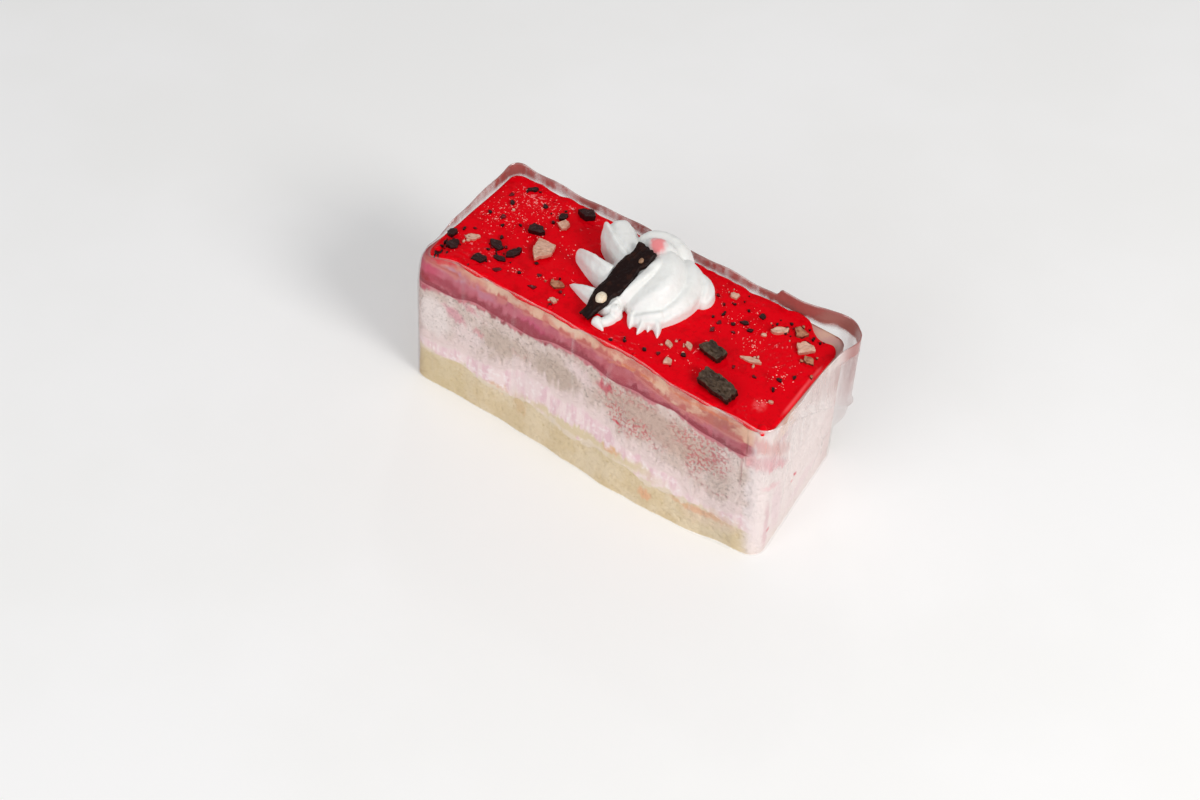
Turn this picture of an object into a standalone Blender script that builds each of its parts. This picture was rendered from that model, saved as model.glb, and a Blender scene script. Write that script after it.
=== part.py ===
# Strawberry pastry cake: a layered bar in a clear film strip, with red gel,
# flakes, a whipped cream rosette and a chocolate stick on top.
# Metres, +Z up. The origin is the middle of the resting face, +X runs along the
# cake and the long side at -Y is the front.
import math
import random

import bmesh
import bpy
from mathutils import Matrix, Vector

MM = 0.001

# Body of the cake
CAKE_LENGTH = 111.2 * MM
CAKE_WIDTH = 43.6 * MM
CORNER_RADIUS = 3.6 * MM
TOP_HEIGHT = 46.4 * MM
TOP_FALL = 0.0357
LAYER_GAP = 0.3 * MM
BOX_CENTRE_SHIFT = (-1.12 * MM, 2.10 * MM, 0.0)

# How far the walls stray from the straight block
FRONT_SAG = 4.6 * MM
FRONT_SAG_X = 20 * MM
FRONT_SAG_REACH = 36 * MM
WALL_FLARE = 1.1 * MM
END_TWIST = 1.7 * MM
SIDE_SHEAR = 1.3 * MM
WALL_RIPPLE = 0.22 * MM
SHOULDER = 2.0 * MM
SHOULDER_LOW = 36 * MM

# Seams between the layers: height at mid-length, fall along X, a broad arch and a ripple
BASE_SEAM = dict(height=10.0 * MM, fall=0.036, arch=1.0 * MM, arch_x=-4 * MM,
                 arch_reach=30 * MM, ripple=0.8 * MM, wave=27 * MM, phase=0.6)
CREAM_SEAM = dict(height=13.4 * MM, fall=0.036, arch=9.3 * MM, arch_x=-8 * MM,
                  arch_reach=31 * MM, ripple=0.9 * MM, wave=24 * MM, phase=2.1)
SPONGE_SEAM = dict(height=34.6 * MM, fall=0.030, arch=3.4 * MM, arch_x=0 * MM,
                   arch_reach=44 * MM, ripple=0.8 * MM, wave=31 * MM, phase=4.0)
BERRY_SEAM = dict(height=40.7 * MM, fall=0.060, arch=1.9 * MM, arch_x=0 * MM,
                  arch_reach=25 * MM, ripple=0.35 * MM, wave=36 * MM, phase=1.2)

# Red gel on the top
GEL_THICKNESS = 1.3 * MM
GEL_INSET = 0.25 * MM
GEL_SWELL = 0.28 * MM
GEL_NOTCH = 4.4 * MM
GEL_NOTCH_X = 49 * MM
GEL_NOTCH_REACH = 7 * MM

# Film strip round the sides
FILM_THICKNESS = 0.3 * MM
FILM_GAP = 0.5 * MM
FILM_START_X = 48.6 * MM
FILM_OVERLAP = 9 * MM
FILM_COLUMNS = 104
FILM_ROWS = 7
FILM_FOOT = 0.25 * MM
FLAP_DEPTH = 3.4 * MM
FLAP_REACH = 9 * MM
FLAP_LOW = 15 * MM
END_FOLD_DEPTH = 1.1 * MM
FILM_STEP_X = 33 * MM

# Grid of a layer: cells along X, Y and Z
LAYER_CELLS = (30, 6, 2)
GEL_CELLS = (34, 12, 1)

# Rosette and chocolate stick, in a frame turned about Z on the top of the cake
ROSETTE_PLACE = (-1.0 * MM, 4.0 * MM)
ROSETTE_TURN = math.radians(30.6)
ROSETTE_GAP = 0.35 * MM
STICK_FOOT = Vector((-14.3, -15.2, 1.4)) * MM
STICK_HEAD = Vector((2.0, 2.6, 11.2)) * MM
STICK_WIDTH = 6.8 * MM
STICK_THICKNESS = 1.9 * MM
STICK_CLEARANCE = 0.35 * MM

# Flakes in the gel
FLAKE_ROOT = 0.7 * MM
FLAKE_TILT = 0.11
SCATTER_SEED = 41
SCATTER_COUNT = 34


# Shared shapes

def smooth_step(low, high, value):
    t = min(1.0, max(0.0, (value - low) / (high - low)))
    return t * t * (3 - 2 * t)


def hump(value, centre, reach):
    return math.exp(-((value - centre) / reach) ** 2)


def top_plane(x):
    """Height of the gel's mean top: it falls evenly towards +X."""
    return TOP_HEIGHT - TOP_FALL * x


def seam_height(seam, x, y):
    """Height of a seam: a tilted line, a broad arch and two sine ripples that drift with Y."""
    turn = 2 * math.pi * x / seam["wave"] + seam["phase"] + y / (16 * MM)
    ripple = math.sin(turn) + 0.45 * math.sin(2.3 * turn + 1.1)
    arch = seam["arch"] * hump(x, seam["arch_x"], seam["arch_reach"])
    return seam["height"] - seam["fall"] * x + arch + seam["ripple"] * ripple


def wall_stray(x, y, z):
    """Sideways shift of a point of the block. The foot flares, the front sags out low
    down and draws in at its upper edge, the ends twist and the long sides run askew."""
    half_length = CAKE_LENGTH / 2
    half_width = CAKE_WIDTH / 2
    low = max(0.0, 1 - z / TOP_HEIGHT)
    along = x / half_length
    across = y / half_width
    front = max(0.0, -across)
    sag = FRONT_SAG * hump(x, FRONT_SAG_X, FRONT_SAG_REACH) * low ** 1.15
    ripple = WALL_RIPPLE * math.sin(x / (2.9 * MM) + 5 * low) * math.sin(x / (11 * MM) + 1)
    shoulder = SHOULDER * smooth_step(SHOULDER_LOW, TOP_HEIGHT, z) * (1 - smooth_step(0.1, 0.6, along))
    dy = WALL_FLARE * low * across - front * (sag + ripple - shoulder) - SIDE_SHEAR * along
    dx = WALL_FLARE * low * along - END_TWIST * low * max(0.0, along) ** 3 * across
    return dx, dy


def round_corner(x, y, half_length, half_width, radius):
    """Bend the square corner of a rectangle onto an arc of the given radius."""
    inner_x = abs(x) - (half_length - radius)
    inner_y = abs(y) - (half_width - radius)
    if inner_x <= 0 or inner_y <= 0:
        return x, y
    pull = max(inner_x, inner_y) / math.hypot(inner_x, inner_y)
    new_x = half_length - radius + inner_x * pull
    new_y = half_width - radius + inner_y * pull
    return math.copysign(new_x, x), math.copysign(new_y, y)


def spread_out(value, pull):
    """Move grid lines from the middle towards both ends."""
    return (1 - pull) * value + pull * math.sin(value * math.pi / 2)


def cut_cube(cells):
    """A cube from -1 to 1 whose faces are cut into the given number of cells."""
    shape = bmesh.new()
    bmesh.ops.create_cube(shape, size=2.0)
    for axis, count in enumerate(cells):
        if count < 2:
            continue
        along_axis = [e for e in shape.edges
                      if abs(e.verts[0].co[axis] - e.verts[1].co[axis]) > 1e-6]
        bmesh.ops.subdivide_edges(shape, edges=along_axis, cuts=count - 1, use_grid_fill=True)
    split_alike(shape)
    return shape


def split_alike(shape):
    """Split the squares into triangles along one diagonal on the top and the bottom alike,
    so that two layers that meet at a seam bend in the same way."""
    skew = Matrix(((1, 0.3, 0), (0, 1, 0), (0, 0, 1)))
    bmesh.ops.transform(shape, matrix=skew, verts=shape.verts)
    bmesh.ops.triangulate(shape, faces=shape.faces, quad_method="SHORT_EDGE")
    bmesh.ops.transform(shape, matrix=skew.inverted(), verts=shape.verts)


def plan_point(a, b, inset):
    """Plan position of a grid point (a, b), both from -1 to 1, before the walls stray."""
    half_length = CAKE_LENGTH / 2 - inset
    half_width = CAKE_WIDTH / 2 - inset
    x = half_length * spread_out(a, 0.5)
    y = half_width * spread_out(b, 0.75)
    return round_corner(x, y, half_length, half_width, CORNER_RADIUS)


def make_object(name, shape, material, smooth_angle=math.radians(38)):
    mesh = bpy.data.meshes.new(name)
    shape.to_mesh(mesh)
    shape.free()
    return finish_object(name, mesh, material, smooth_angle)


def finish_object(name, mesh, material, smooth_angle=math.radians(38)):
    mesh.materials.clear()
    mesh.materials.append(material)
    mesh.shade_smooth()
    mesh.set_sharp_from_angle(angle=smooth_angle)
    piece = bpy.data.objects.new(name, mesh)
    parts.objects.link(piece)
    piece.parent = cake
    return piece


def make_material(name, colour, roughness, metallic=0.0):
    material = bpy.data.materials.new(name)
    material.use_nodes = True
    shader = material.node_tree.nodes["Principled BSDF"]
    shader.inputs["Base Color"].default_value = (*colour, 1.0)
    shader.inputs["Roughness"].default_value = roughness
    shader.inputs["Metallic"].default_value = metallic
    return material


def fuse(name, core, extras, operation="UNION"):
    """Join closed shapes to a core, or cut them from it, in one Boolean, and drop them."""
    core_mesh = bpy.data.meshes.new(name + "_core")
    core.to_mesh(core_mesh)
    core.free()
    core_object = bpy.data.objects.new(name + "_core", core_mesh)
    cutters.objects.link(core_object)
    group = bpy.data.collections.new(name + "_extras")
    cutters.children.link(group)
    for number, extra in enumerate(extras):
        mesh = bpy.data.meshes.new(f"{name}_extra_{number}")
        extra.to_mesh(mesh)
        extra.free()
        helper = bpy.data.objects.new(mesh.name, mesh)
        helper.hide_render = True
        helper.display_type = "WIRE"
        group.objects.link(helper)
    boolean = core_object.modifiers.new("join", "BOOLEAN")
    boolean.operation = operation
    boolean.operand_type = "COLLECTION"
    boolean.collection = group
    boolean.solver = "EXACT"
    depsgraph = bpy.context.evaluated_depsgraph_get()
    joined = bpy.data.meshes.new_from_object(core_object.evaluated_get(depsgraph))
    for helper in list(group.objects) + [core_object]:
        bpy.data.objects.remove(helper)
    bpy.data.collections.remove(group)
    result = bmesh.new()
    result.from_mesh(joined)
    bpy.data.meshes.remove(joined)
    bmesh.ops.remove_doubles(result, verts=result.verts, dist=0.004 * MM)
    bmesh.ops.dissolve_degenerate(result, edges=result.edges, dist=0.004 * MM)
    bmesh.ops.triangulate(result, faces=result.faces)
    return result


# Layers of the cake

def make_layer(name, lower, upper, material):
    """One slab of the cake between two height functions of (x, y)."""
    shape = cut_cube(LAYER_CELLS)
    for vert in shape.verts:
        a, b, c = vert.co
        x, y = plan_point(a, b, 0.0)
        share = (c + 1) / 2
        z = lower(x, y) * (1 - share) + upper(x, y) * share
        dx, dy = wall_stray(x, y, z)
        vert.co = (x + dx, y + dy, z)
    return make_object(name, shape, material)


def above(seam):
    return lambda x, y: seam_height(seam, x, y) + LAYER_GAP / 2


def below(seam):
    return lambda x, y: seam_height(seam, x, y) - LAYER_GAP / 2


def resting_face(x, y):
    return 0.0


def cream_top_height(x, y):
    return top_plane(x) - GEL_THICKNESS - LAYER_GAP


def make_layers():
    make_layer("sponge_base", resting_face, below(BASE_SEAM),
               make_material("yellow sponge", (0.62, 0.50, 0.29), 0.85))
    make_layer("cream_lower", above(BASE_SEAM), below(CREAM_SEAM),
               make_material("pink white cream", (0.78, 0.62, 0.68), 0.6))
    make_layer("sponge_middle", above(CREAM_SEAM), below(SPONGE_SEAM),
               make_material("grey beige sponge", (0.55, 0.47, 0.44), 0.9))
    make_layer("berry_band", above(SPONGE_SEAM), below(BERRY_SEAM),
               make_material("berry mousse", (0.55, 0.13, 0.24), 0.5))
    make_layer("cream_top", above(BERRY_SEAM), cream_top_height,
               make_material("beige cream", (0.72, 0.55, 0.42), 0.55))


# Red gel and what is fused into it

def gel_edge_notch(x, y):
    """The gel stops short of the back wall near the right end."""
    back = smooth_step(2 * MM, CAKE_WIDTH / 2, y)
    return GEL_NOTCH * back * smooth_step(GEL_NOTCH_X - GEL_NOTCH_REACH, GEL_NOTCH_X, x)


def gel_swell(x, y):
    """Slow lumps in the gel, flat where the rosette stands."""
    lumps = math.sin(x / (5.1 * MM) + 0.7) * math.sin(y / (4.3 * MM) + x / (13 * MM))
    away = smooth_step(20 * MM, 26 * MM, math.hypot(x - ROSETTE_PLACE[0], y - ROSETTE_PLACE[1]))
    return GEL_SWELL * lumps * away


def gel_shape():
    shape = cut_cube(GEL_CELLS)
    for vert in shape.verts:
        a, b, c = vert.co
        x, y = plan_point(a, b, GEL_INSET)
        rim = max(abs(a), abs(b)) > 0.999
        top = top_plane(x) - (0.45 * MM if rim else 0.0)
        z = top + gel_swell(x, y) if c > 0 else top_plane(x) - GEL_THICKNESS
        dx, dy = wall_stray(x, y, top_plane(x))
        vert.co = (x + dx, y + dy - gel_edge_notch(x, y), z)
    return shape


def flake_shape(x, y, length, width, height, turn, sides, rand):
    """An uneven flat flake: a low prism with jogged corners, sunk into the gel."""
    shape = bmesh.new()
    bmesh.ops.create_cone(shape, cap_ends=True, segments=sides,
                          radius1=0.5, radius2=0.44, depth=1.0)
    tilt = Matrix.Rotation(rand.uniform(-FLAKE_TILT, FLAKE_TILT), 4, "X")
    for vert in shape.verts:
        vert.co.x *= length * rand.uniform(0.8, 1.1)
        vert.co.y *= width * rand.uniform(0.8, 1.1)
        vert.co.z *= height + FLAKE_ROOT
    place = Matrix.Translation((x, y, top_plane(x) + (height - FLAKE_ROOT) / 2))
    bmesh.ops.transform(shape, matrix=place @ Matrix.Rotation(turn, 4, "Z") @ tilt,
                        verts=shape.verts)
    return shape


# Small flakes that can be told apart: x, y, length, width, height, turn in degrees
NAMED_FLAKES = [
    (-41.3, -6.4, 3.8, 3.2, 0.9, 20),
    (-35.4, -6.8, 2.6, 4.6, 1.0, -25),
    (-37.6, -10.6, 4.2, 1.8, 0.7, 12),
    (-41.7, -14.3, 3.7, 3.0, 0.9, -15),
    (-51.3, -13.6, 3.1, 3.6, 1.0, 40),
    (-48.8, -8.2, 4.4, 2.2, 0.7, 20),
    (-33.0, 14.2, 3.0, 2.6, 0.8, 60),
    (-46.8, 18.6, 3.4, 1.7, 0.7, 30),
    (22.3, 15.6, 2.4, 2.0, 0.7, 10),
    (39.2, 11.4, 5.6, 2.4, 0.9, 35),
    (44.4, 14.0, 4.0, 3.2, 0.9, 0),
    (17.9, -11.0, 3.4, 1.5, 0.6, -35),
    (22.4, -8.2, 3.2, 1.5, 0.6, -50),
    (21.0, -16.4, 2.6, 2.4, 0.7, 15),
    (38.6, -2.8, 4.6, 1.8, 0.7, 15),
    (51.2, 6.0, 2.6, 3.4, 0.8, 70),
    (-18.6, -9.8, 3.2, 2.6, 0.8, 35),
    (-16.4, -15.4, 2.8, 1.6, 0.7, -20),
]

# Flakes as large as a berry, each a piece of its own: name, x, y, length, width, height,
# turn in degrees, tilt in degrees, colour
LARGE_FLAKES = [
    ("chocolate_shard_front", 36.4, -16.6, 10.4, 5.6, 2.6, -22, 10, "dark"),
    ("chocolate_shard_right", 29.2, -6.6, 6.6, 4.2, 2.2, -28, 12, "dark"),
    ("chocolate_shard_back", -27.4, 18.2, 5.2, 4.0, 2.0, 25, -8, "dark"),
    ("chocolate_shard_left", -35.6, 4.4, 6.0, 3.0, 1.8, 30, 8, "dark"),
    ("almond_flake_left", -29.8, -1.4, 6.4, 6.6, 1.3, 30, -6, "pale"),
    ("almond_flake_back", -30.6, 11.2, 3.4, 3.6, 1.2, 20, 5, "pale"),
    ("almond_flake_right", 48.2, 9.4, 5.4, 4.4, 1.3, 15, 6, "pale"),
]


def scatter_flakes(rand, shapes):
    """Seeded small specks, skipped where a named flake, the rosette or the rim is. The places
    have draws of their own, apart from those that jog the shapes."""
    places = random.Random(SCATTER_SEED)
    taken = [(x * MM, y * MM, max(length, width) / 2 * MM)
             for x, y, length, width, _, _ in NAMED_FLAKES]
    taken += [(x * MM, y * MM, max(length, width) / 2 * MM)
              for _, x, y, length, width, *_ in LARGE_FLAKES]
    made = 0
    while made < SCATTER_COUNT:
        x = places.uniform(-52, 52) * MM
        y = places.uniform(-17.5, 15) * MM
        size = places.uniform(1.0, 2.1) * MM
        turn = places.uniform(0, math.pi)
        if math.hypot(x - ROSETTE_PLACE[0], y - ROSETTE_PLACE[1]) < 24.5 * MM:
            continue
        if any(math.hypot(x - tx, y - ty) < reach + size / 2 + 0.7 * MM
               for tx, ty, reach in taken):
            continue
        taken.append((x, y, size / 2))
        shapes.append(flake_shape(x, y, size, size * 0.7, 0.5 * MM, turn, 4, rand))
        made += 1


def bead_shape(x, y, radius, lift):
    """A round bead of gel gathered at the corner of the top."""
    shape = bmesh.new()
    bmesh.ops.create_uvsphere(shape, u_segments=10, v_segments=7, radius=radius)
    bmesh.ops.translate(shape, vec=(x, y, top_plane(x) + lift), verts=shape.verts)
    return shape


def make_gel():
    rand = random.Random(SCATTER_SEED)
    extras = [flake_shape(x * MM, y * MM, length * MM, width * MM, height * MM,
                          math.radians(turn), 6, rand)
              for x, y, length, width, height, turn in NAMED_FLAKES]
    scatter_flakes(rand, extras)
    extras.append(bead_shape(53.3 * MM, -20.6 * MM, 1.4 * MM, 0.15 * MM))
    gel = fuse("strawberry_gel", gel_shape(), extras)
    make_object("strawberry_gel", gel, make_material("red gel", (0.72, 0.0, 0.012), 0.12))


def make_large_flakes():
    """Shards and almond flakes as slabs with a ribbed top and jogged edges."""
    colours = {"dark": make_material("dark chocolate", (0.035, 0.02, 0.015), 0.45),
               "pale": make_material("almond", (0.62, 0.40, 0.28), 0.6)}
    for name, x, y, length, width, height, turn, tilt, colour in LARGE_FLAKES:
        rand = random.Random(name)
        shape = cut_cube((6, 4, 1))
        for vert in shape.verts:
            a, b, c = vert.co
            edge = 1 + 0.16 * math.sin(5 * a + len(name)) * abs(b) + rand.uniform(-0.07, 0.07)
            ribs = 0.14 * math.sin(9 * b + a) if c > 0 else 0.0
            flat = round_corner(a, b, 1.0, 1.0, 0.85 if colour == "pale" else 0.3)
            vert.co = (flat[0] * length / 2 * MM * edge,
                       flat[1] * width / 2 * MM * edge,
                       (c + ribs) * height / 2 * MM)
        leaning = Matrix.Rotation(math.radians(tilt), 4, "X")
        bmesh.ops.transform(shape, matrix=leaning, verts=shape.verts)
        lowest = min(vert.co.z for vert in shape.verts)
        piece = make_object(name, shape, colours[colour])
        piece.rotation_euler = (0, math.atan(TOP_FALL), math.radians(turn))
        lift = GEL_SWELL + 0.0004 - lowest + 0.5 * TOP_FALL * length * MM
        piece.location = (x * MM, y * MM, top_plane(x * MM) + lift)


# Whipped cream rosette

# Lobes of cream, in millimetres in the rosette's own frame: start, middle and end of the ridge
# in plan, half widths and heights at its two ends, how sharp its crest is (0 round), how
# blunt its ends are, how far the crest leans over and how far its tip reaches forward
LOBES = [
    ((-8, -5), (0, 0), (8, 4), (9.0, 9.0), (7.8, 11.2), 0.0, 2.2, 0.0, 0.0),
    ((2, -2), (-3.0, 6), (-6.1, 15.2), (4.2, 5.4), (9.2, 10.2), 0.0, 12.0, 0.1, 0.6),
    ((1, -1), (-5.6, 5), (-9.6, 14.6), (3.6, 2.2), (8.6, 10.6), 0.4, 8.0, 0.3, 0.5),
    ((1, -6), (-8, -3.4), (-17.8, 8.0), (6.8, 0.8), (8.0, 8.0), 0.7, 3.0, 0.1, 0.4),
    ((-4, -11), (-11, -9.2), (-18.6, -3.0), (5.6, 0.5), (6.0, 3.0), 0.7, 2.4, 0.1, 0.8),
    ((-2, 8), (7, 13.0), (12.6, 3.0), (5.6, 5.8), (10.4, 9.6), 0.1, 2.8, 0.1, 0.0),
    ((-1, 5), (5, 7), (10, 1), (6.4, 6.4), (11.4, 11.4), 0.0, 2.6, 0.0, 0.0),
    ((2, 6), (13.4, -3.6), (-2.8, -12.2), (8.0, 6.2), (11.9, 7.4), 0.0, 2.8, 0.1, 0.0),
    ((4.6, 2.8), (3.6, -4), (-6.4, -9.8), (4.6, 2.6), (11.8, 6.8), 0.0, 3.4, 0.3, 0.4),
    ((9, 5.6), (18.4, -3.8), (1.6, -15.6), (6.0, 4.6), (8.4, 3.8), 0.0, 2.8, 0.2, 0.0),
    ((12.2, 1.6), (19.4, -1.6), (15.8, -7.4), (4.6, 3.4), (6.0, 3.8), 0.0, 2.8, 0.1, 0.0),
    ((8, -12), (4, -15.4), (-2.8, -14.4), (3.6, 2.2), (4.6, 3.0), 0.2, 2.4, 0.1, 0.0),
    ((1.4, -12), (1.8, -16), (0.0, -19.4), (2.2, 0.5), (4.0, 1.2), 0.5, 2.4, 0.0, 0.4),
    ((4.0, -13), (5.8, -16), (5.4, -20.2), (2.2, 0.5), (3.8, 1.1), 0.5, 2.4, 0.0, 0.4),
    ((2.6, -13), (3.4, -16), (2.8, -18.2), (1.4, 0.4), (3.2, 1.1), 0.5, 2.4, 0.0, 0.4),
    ((-1.0, -12), (-1.8, -15), (-2.0, -17.4), (2.0, 0.5), (3.8, 1.1), 0.5, 2.4, 0.0, 0.3),
    ((-5.6, -11.4), (-6.2, -13.0), (-6.8, -14.8), (2.2, 1.9), (4.2, 2.9), 0.0, 2.6, 0.0, 0.0),
    ((-11.4, -15.2), (-10.6, -16.6), (-9.0, -19.2), (2.1, 0.5), (2.8, 1.0), 0.2, 2.4, 0.0, 0.0),
    ((-5.8, -13.2), (-7.6, -15.4), (-10.4, -17.0), (1.7, 1.6), (2.2, 2.0), 0.0, 2.2, 0.0, 0.0),
]
LOBE_SEGMENTS = 14
LOBE_RINGS = 9
LOBE_ROOT = 0.3
LOBE_BELLY = 0.8


def lobe_shape(start, middle, end, widths, heights, crest, blunt, lean, reach):
    """A ridge of cream: a sphere drawn out along a curve in plan. Its width and height run
    from one end to the other, its ends are blunt or round, and its section is pinched
    to a crest. The flat belly lies just below the ground."""
    shape = bmesh.new()
    bmesh.ops.create_uvsphere(shape, u_segments=LOBE_SEGMENTS, v_segments=LOBE_RINGS, radius=1.0)
    bmesh.ops.rotate(shape, matrix=Matrix.Rotation(math.pi / 2, 3, "Y"), verts=shape.verts)
    start, middle, end = (Vector(p) for p in (start, middle, end))
    for vert in shape.verts:
        along, across, up = vert.co
        around = max(1e-9, math.hypot(across, up))
        across, up = across / around, up / around
        rise = max(0.0, up)
        envelope = max(0.0, 1 - min(1.0, abs(along)) ** blunt) ** (1 / blunt)
        t = (along + 1) / 2
        centre = (1 - t) ** 2 * start + 2 * t * (1 - t) * middle + t * t * end
        ahead = (2 * (1 - t) * (middle - start) + 2 * t * (end - middle)).normalized()
        side = Vector((-ahead.y, ahead.x))
        width = (widths[0] + (widths[1] - widths[0]) * t) * envelope
        height = (heights[0] + (heights[1] - heights[0]) * t ** 1.3) * envelope
        offset = (across * abs(across) ** (crest * rise) + lean * rise) * width
        forward = reach * rise * t * t
        vert.co = ((centre.x + side.x * offset + ahead.x * forward) * MM,
                   (centre.y + side.y * offset + ahead.y * forward) * MM,
                   (rise * height + min(0.0, up) * LOBE_BELLY * envelope - LOBE_ROOT) * MM)
    return shape


def box_shape(low, high):
    shape = bmesh.new()
    bmesh.ops.create_cube(shape, size=1.0)
    size = high - low
    bmesh.ops.scale(shape, vec=size, verts=shape.verts)
    bmesh.ops.translate(shape, vec=low + size / 2, verts=shape.verts)
    return shape


def stick_frame():
    """Frame of the chocolate stick inside the rosette's frame: X from foot to head."""
    along = (STICK_HEAD - STICK_FOOT).normalized()
    side = Vector((0, 0, 1)).cross(along).normalized()
    up = along.cross(side)
    turn = Matrix((along, side, up)).transposed().to_4x4()
    return Matrix.Translation((STICK_FOOT + STICK_HEAD) / 2) @ turn


def rosette_matrix():
    x, y = ROSETTE_PLACE
    lean = Matrix.Rotation(math.atan(TOP_FALL), 4, "Y")
    place = Matrix.Translation((x, y, top_plane(x) + ROSETTE_GAP))
    return place @ lean @ Matrix.Rotation(ROSETTE_TURN, 4, "Z")


def make_rosette():
    lobes = [lobe_shape(*lobe) for lobe in LOBES]
    joined = fuse("cream_rosette", lobes[0], lobes[1:])
    reach = 40 * MM
    under = box_shape(Vector((-reach, -reach, -reach)), Vector((reach, reach, 0)))
    length = (STICK_HEAD - STICK_FOOT).length
    half = Vector((length / 2, STICK_WIDTH / 2, STICK_THICKNESS / 2))
    margin = Vector((1, 1, 1)) * STICK_CLEARANCE
    groove = box_shape(-half - margin, half + margin + Vector((0, 0, 9 * MM)))
    bmesh.ops.transform(groove, matrix=stick_frame(), verts=groove.verts)
    trimmed = fuse("cream_rosette", joined, [under, groove], "DIFFERENCE")
    material = make_material("whipped cream", (0.86, 0.86, 0.84), 0.45)
    piece = make_object("cream_rosette", trimmed, material, math.radians(50))
    piece.matrix_local = rosette_matrix()


def make_stick():
    """A rough bar that narrows to its foot, with a white bead set into its lower end."""
    rand = random.Random(7)
    length = (STICK_HEAD - STICK_FOOT).length
    shape = cut_cube((12, 4, 2))
    for vert in shape.verts:
        a, b, c = vert.co
        narrow = 0.5 + 0.5 * smooth_step(-1.0, -0.1, a)
        jag = 1 - 0.16 * max(0.0, math.sin(8 * a + 2 * b)) * abs(b)
        rough = rand.uniform(0.80, 0.97)
        vert.co = (a * length / 2,
                   b * STICK_WIDTH / 2 * narrow * jag,
                   c * STICK_THICKNESS / 2 * rough)
    bead = bmesh.new()
    bmesh.ops.create_uvsphere(bead, u_segments=12, v_segments=8, radius=1.7 * MM)
    bmesh.ops.scale(bead, vec=(1, 0.9, 0.75), verts=bead.verts)
    bmesh.ops.translate(bead, vec=(-6.4 * MM, -0.5 * MM, 0.9 * MM), verts=bead.verts)
    stick = fuse("chocolate_stick", shape, [bead])
    piece = make_object("chocolate_stick", stick, make_material("chocolate", (0.03, 0.012, 0.01), 0.4))
    piece.matrix_local = rosette_matrix() @ stick_frame()


# Film strip

def outline_point(distance):
    """Point and outward normal on the rounded rectangle, walking clockwise seen from
    above from the middle of the front, towards -X first."""
    half_x = CAKE_LENGTH / 2 - CORNER_RADIUS
    half_y = CAKE_WIDTH / 2 - CORNER_RADIUS
    quarter = CORNER_RADIUS * math.pi / 2
    legs = [(half_x, "line", (0, -1), (-1, 0), (0, -half_y)),
            (quarter, "arc", (-half_x, -half_y), -90, None),
            (2 * half_y, "line", (-1, 0), (0, 1), (-half_x, -half_y)),
            (quarter, "arc", (-half_x, half_y), 180, None),
            (2 * half_x, "line", (0, 1), (1, 0), (-half_x, half_y)),
            (quarter, "arc", (half_x, half_y), 90, None),
            (2 * half_y, "line", (1, 0), (0, -1), (half_x, half_y)),
            (quarter, "arc", (half_x, -half_y), 0, None),
            (half_x, "line", (0, -1), (-1, 0), (half_x, -half_y))]
    distance %= sum(leg[0] for leg in legs)
    for leg_length, kind, first, second, third in legs:
        if distance <= leg_length:
            break
        distance -= leg_length
    if kind == "line":
        normal, direction, base = Vector(first), Vector(second), Vector(third)
        point = base + direction * distance
        if normal.x == 0:
            point.y = normal.y * CAKE_WIDTH / 2
        else:
            point.x = normal.x * CAKE_LENGTH / 2
        return point, normal
    angle = math.radians(second) - distance / CORNER_RADIUS
    normal = Vector((math.cos(angle), math.sin(angle)))
    return Vector(first) + normal * CORNER_RADIUS, normal


def outline_length():
    straight = 2 * (CAKE_LENGTH + CAKE_WIDTH - 4 * CORNER_RADIUS)
    return straight + 2 * math.pi * CORNER_RADIUS


def film_top(x, y, walked):
    """Height of the strip's upper edge: level with the gel at the front, standing proud
    at the back, with a step near the right end."""
    back = smooth_step(-6 * MM, CAKE_WIDTH / 2, y)
    right = smooth_step(FILM_STEP_X - 0.8 * MM, FILM_STEP_X + 0.8 * MM, x)
    wave = math.sin(walked / (4.7 * MM)) + 0.7 * math.sin(walked / (2.3 * MM) + 1)
    proud = 0.5 * MM + back * (1.9 * MM + 2.4 * MM * right * smooth_step(60 * MM, 30 * MM, x))
    corner = 1.6 * MM * hump(x, CAKE_LENGTH / 2, 9 * MM) * back
    left_corner = 1.2 * MM * hump(x, -CAKE_LENGTH / 2, 5 * MM)
    return top_plane(x) + proud + corner + left_corner + 0.32 * MM * wave


def film_offset(x, y, z, walked):
    """Distance of the strip from the wall of the cake."""
    lap = FILM_THICKNESS + FILM_GAP
    outer = lap * (1 - smooth_step(FILM_OVERLAP + 1 * MM, FILM_OVERLAP + 9 * MM, walked))
    corner = math.hypot(x - CAKE_LENGTH / 2, y - CAKE_WIDTH / 2)
    flap = FLAP_DEPTH * hump(corner, 0, FLAP_REACH) * smooth_step(FLAP_LOW - 3 * MM, FLAP_LOW + 4 * MM, z)
    on_end = smooth_step(CAKE_LENGTH / 2 - 1 * MM, CAKE_LENGTH / 2, x)
    fold_height = 30 * MM - 0.44 * y
    fold = END_FOLD_DEPTH * on_end * hump(z, fold_height, 3 * MM)
    creases = 0.35 * MM * max(0.0, math.sin(walked / (3.1 * MM)) * math.sin(walked / (17 * MM))) ** 2
    return FILM_GAP + outer + flap + fold + creases


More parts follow.
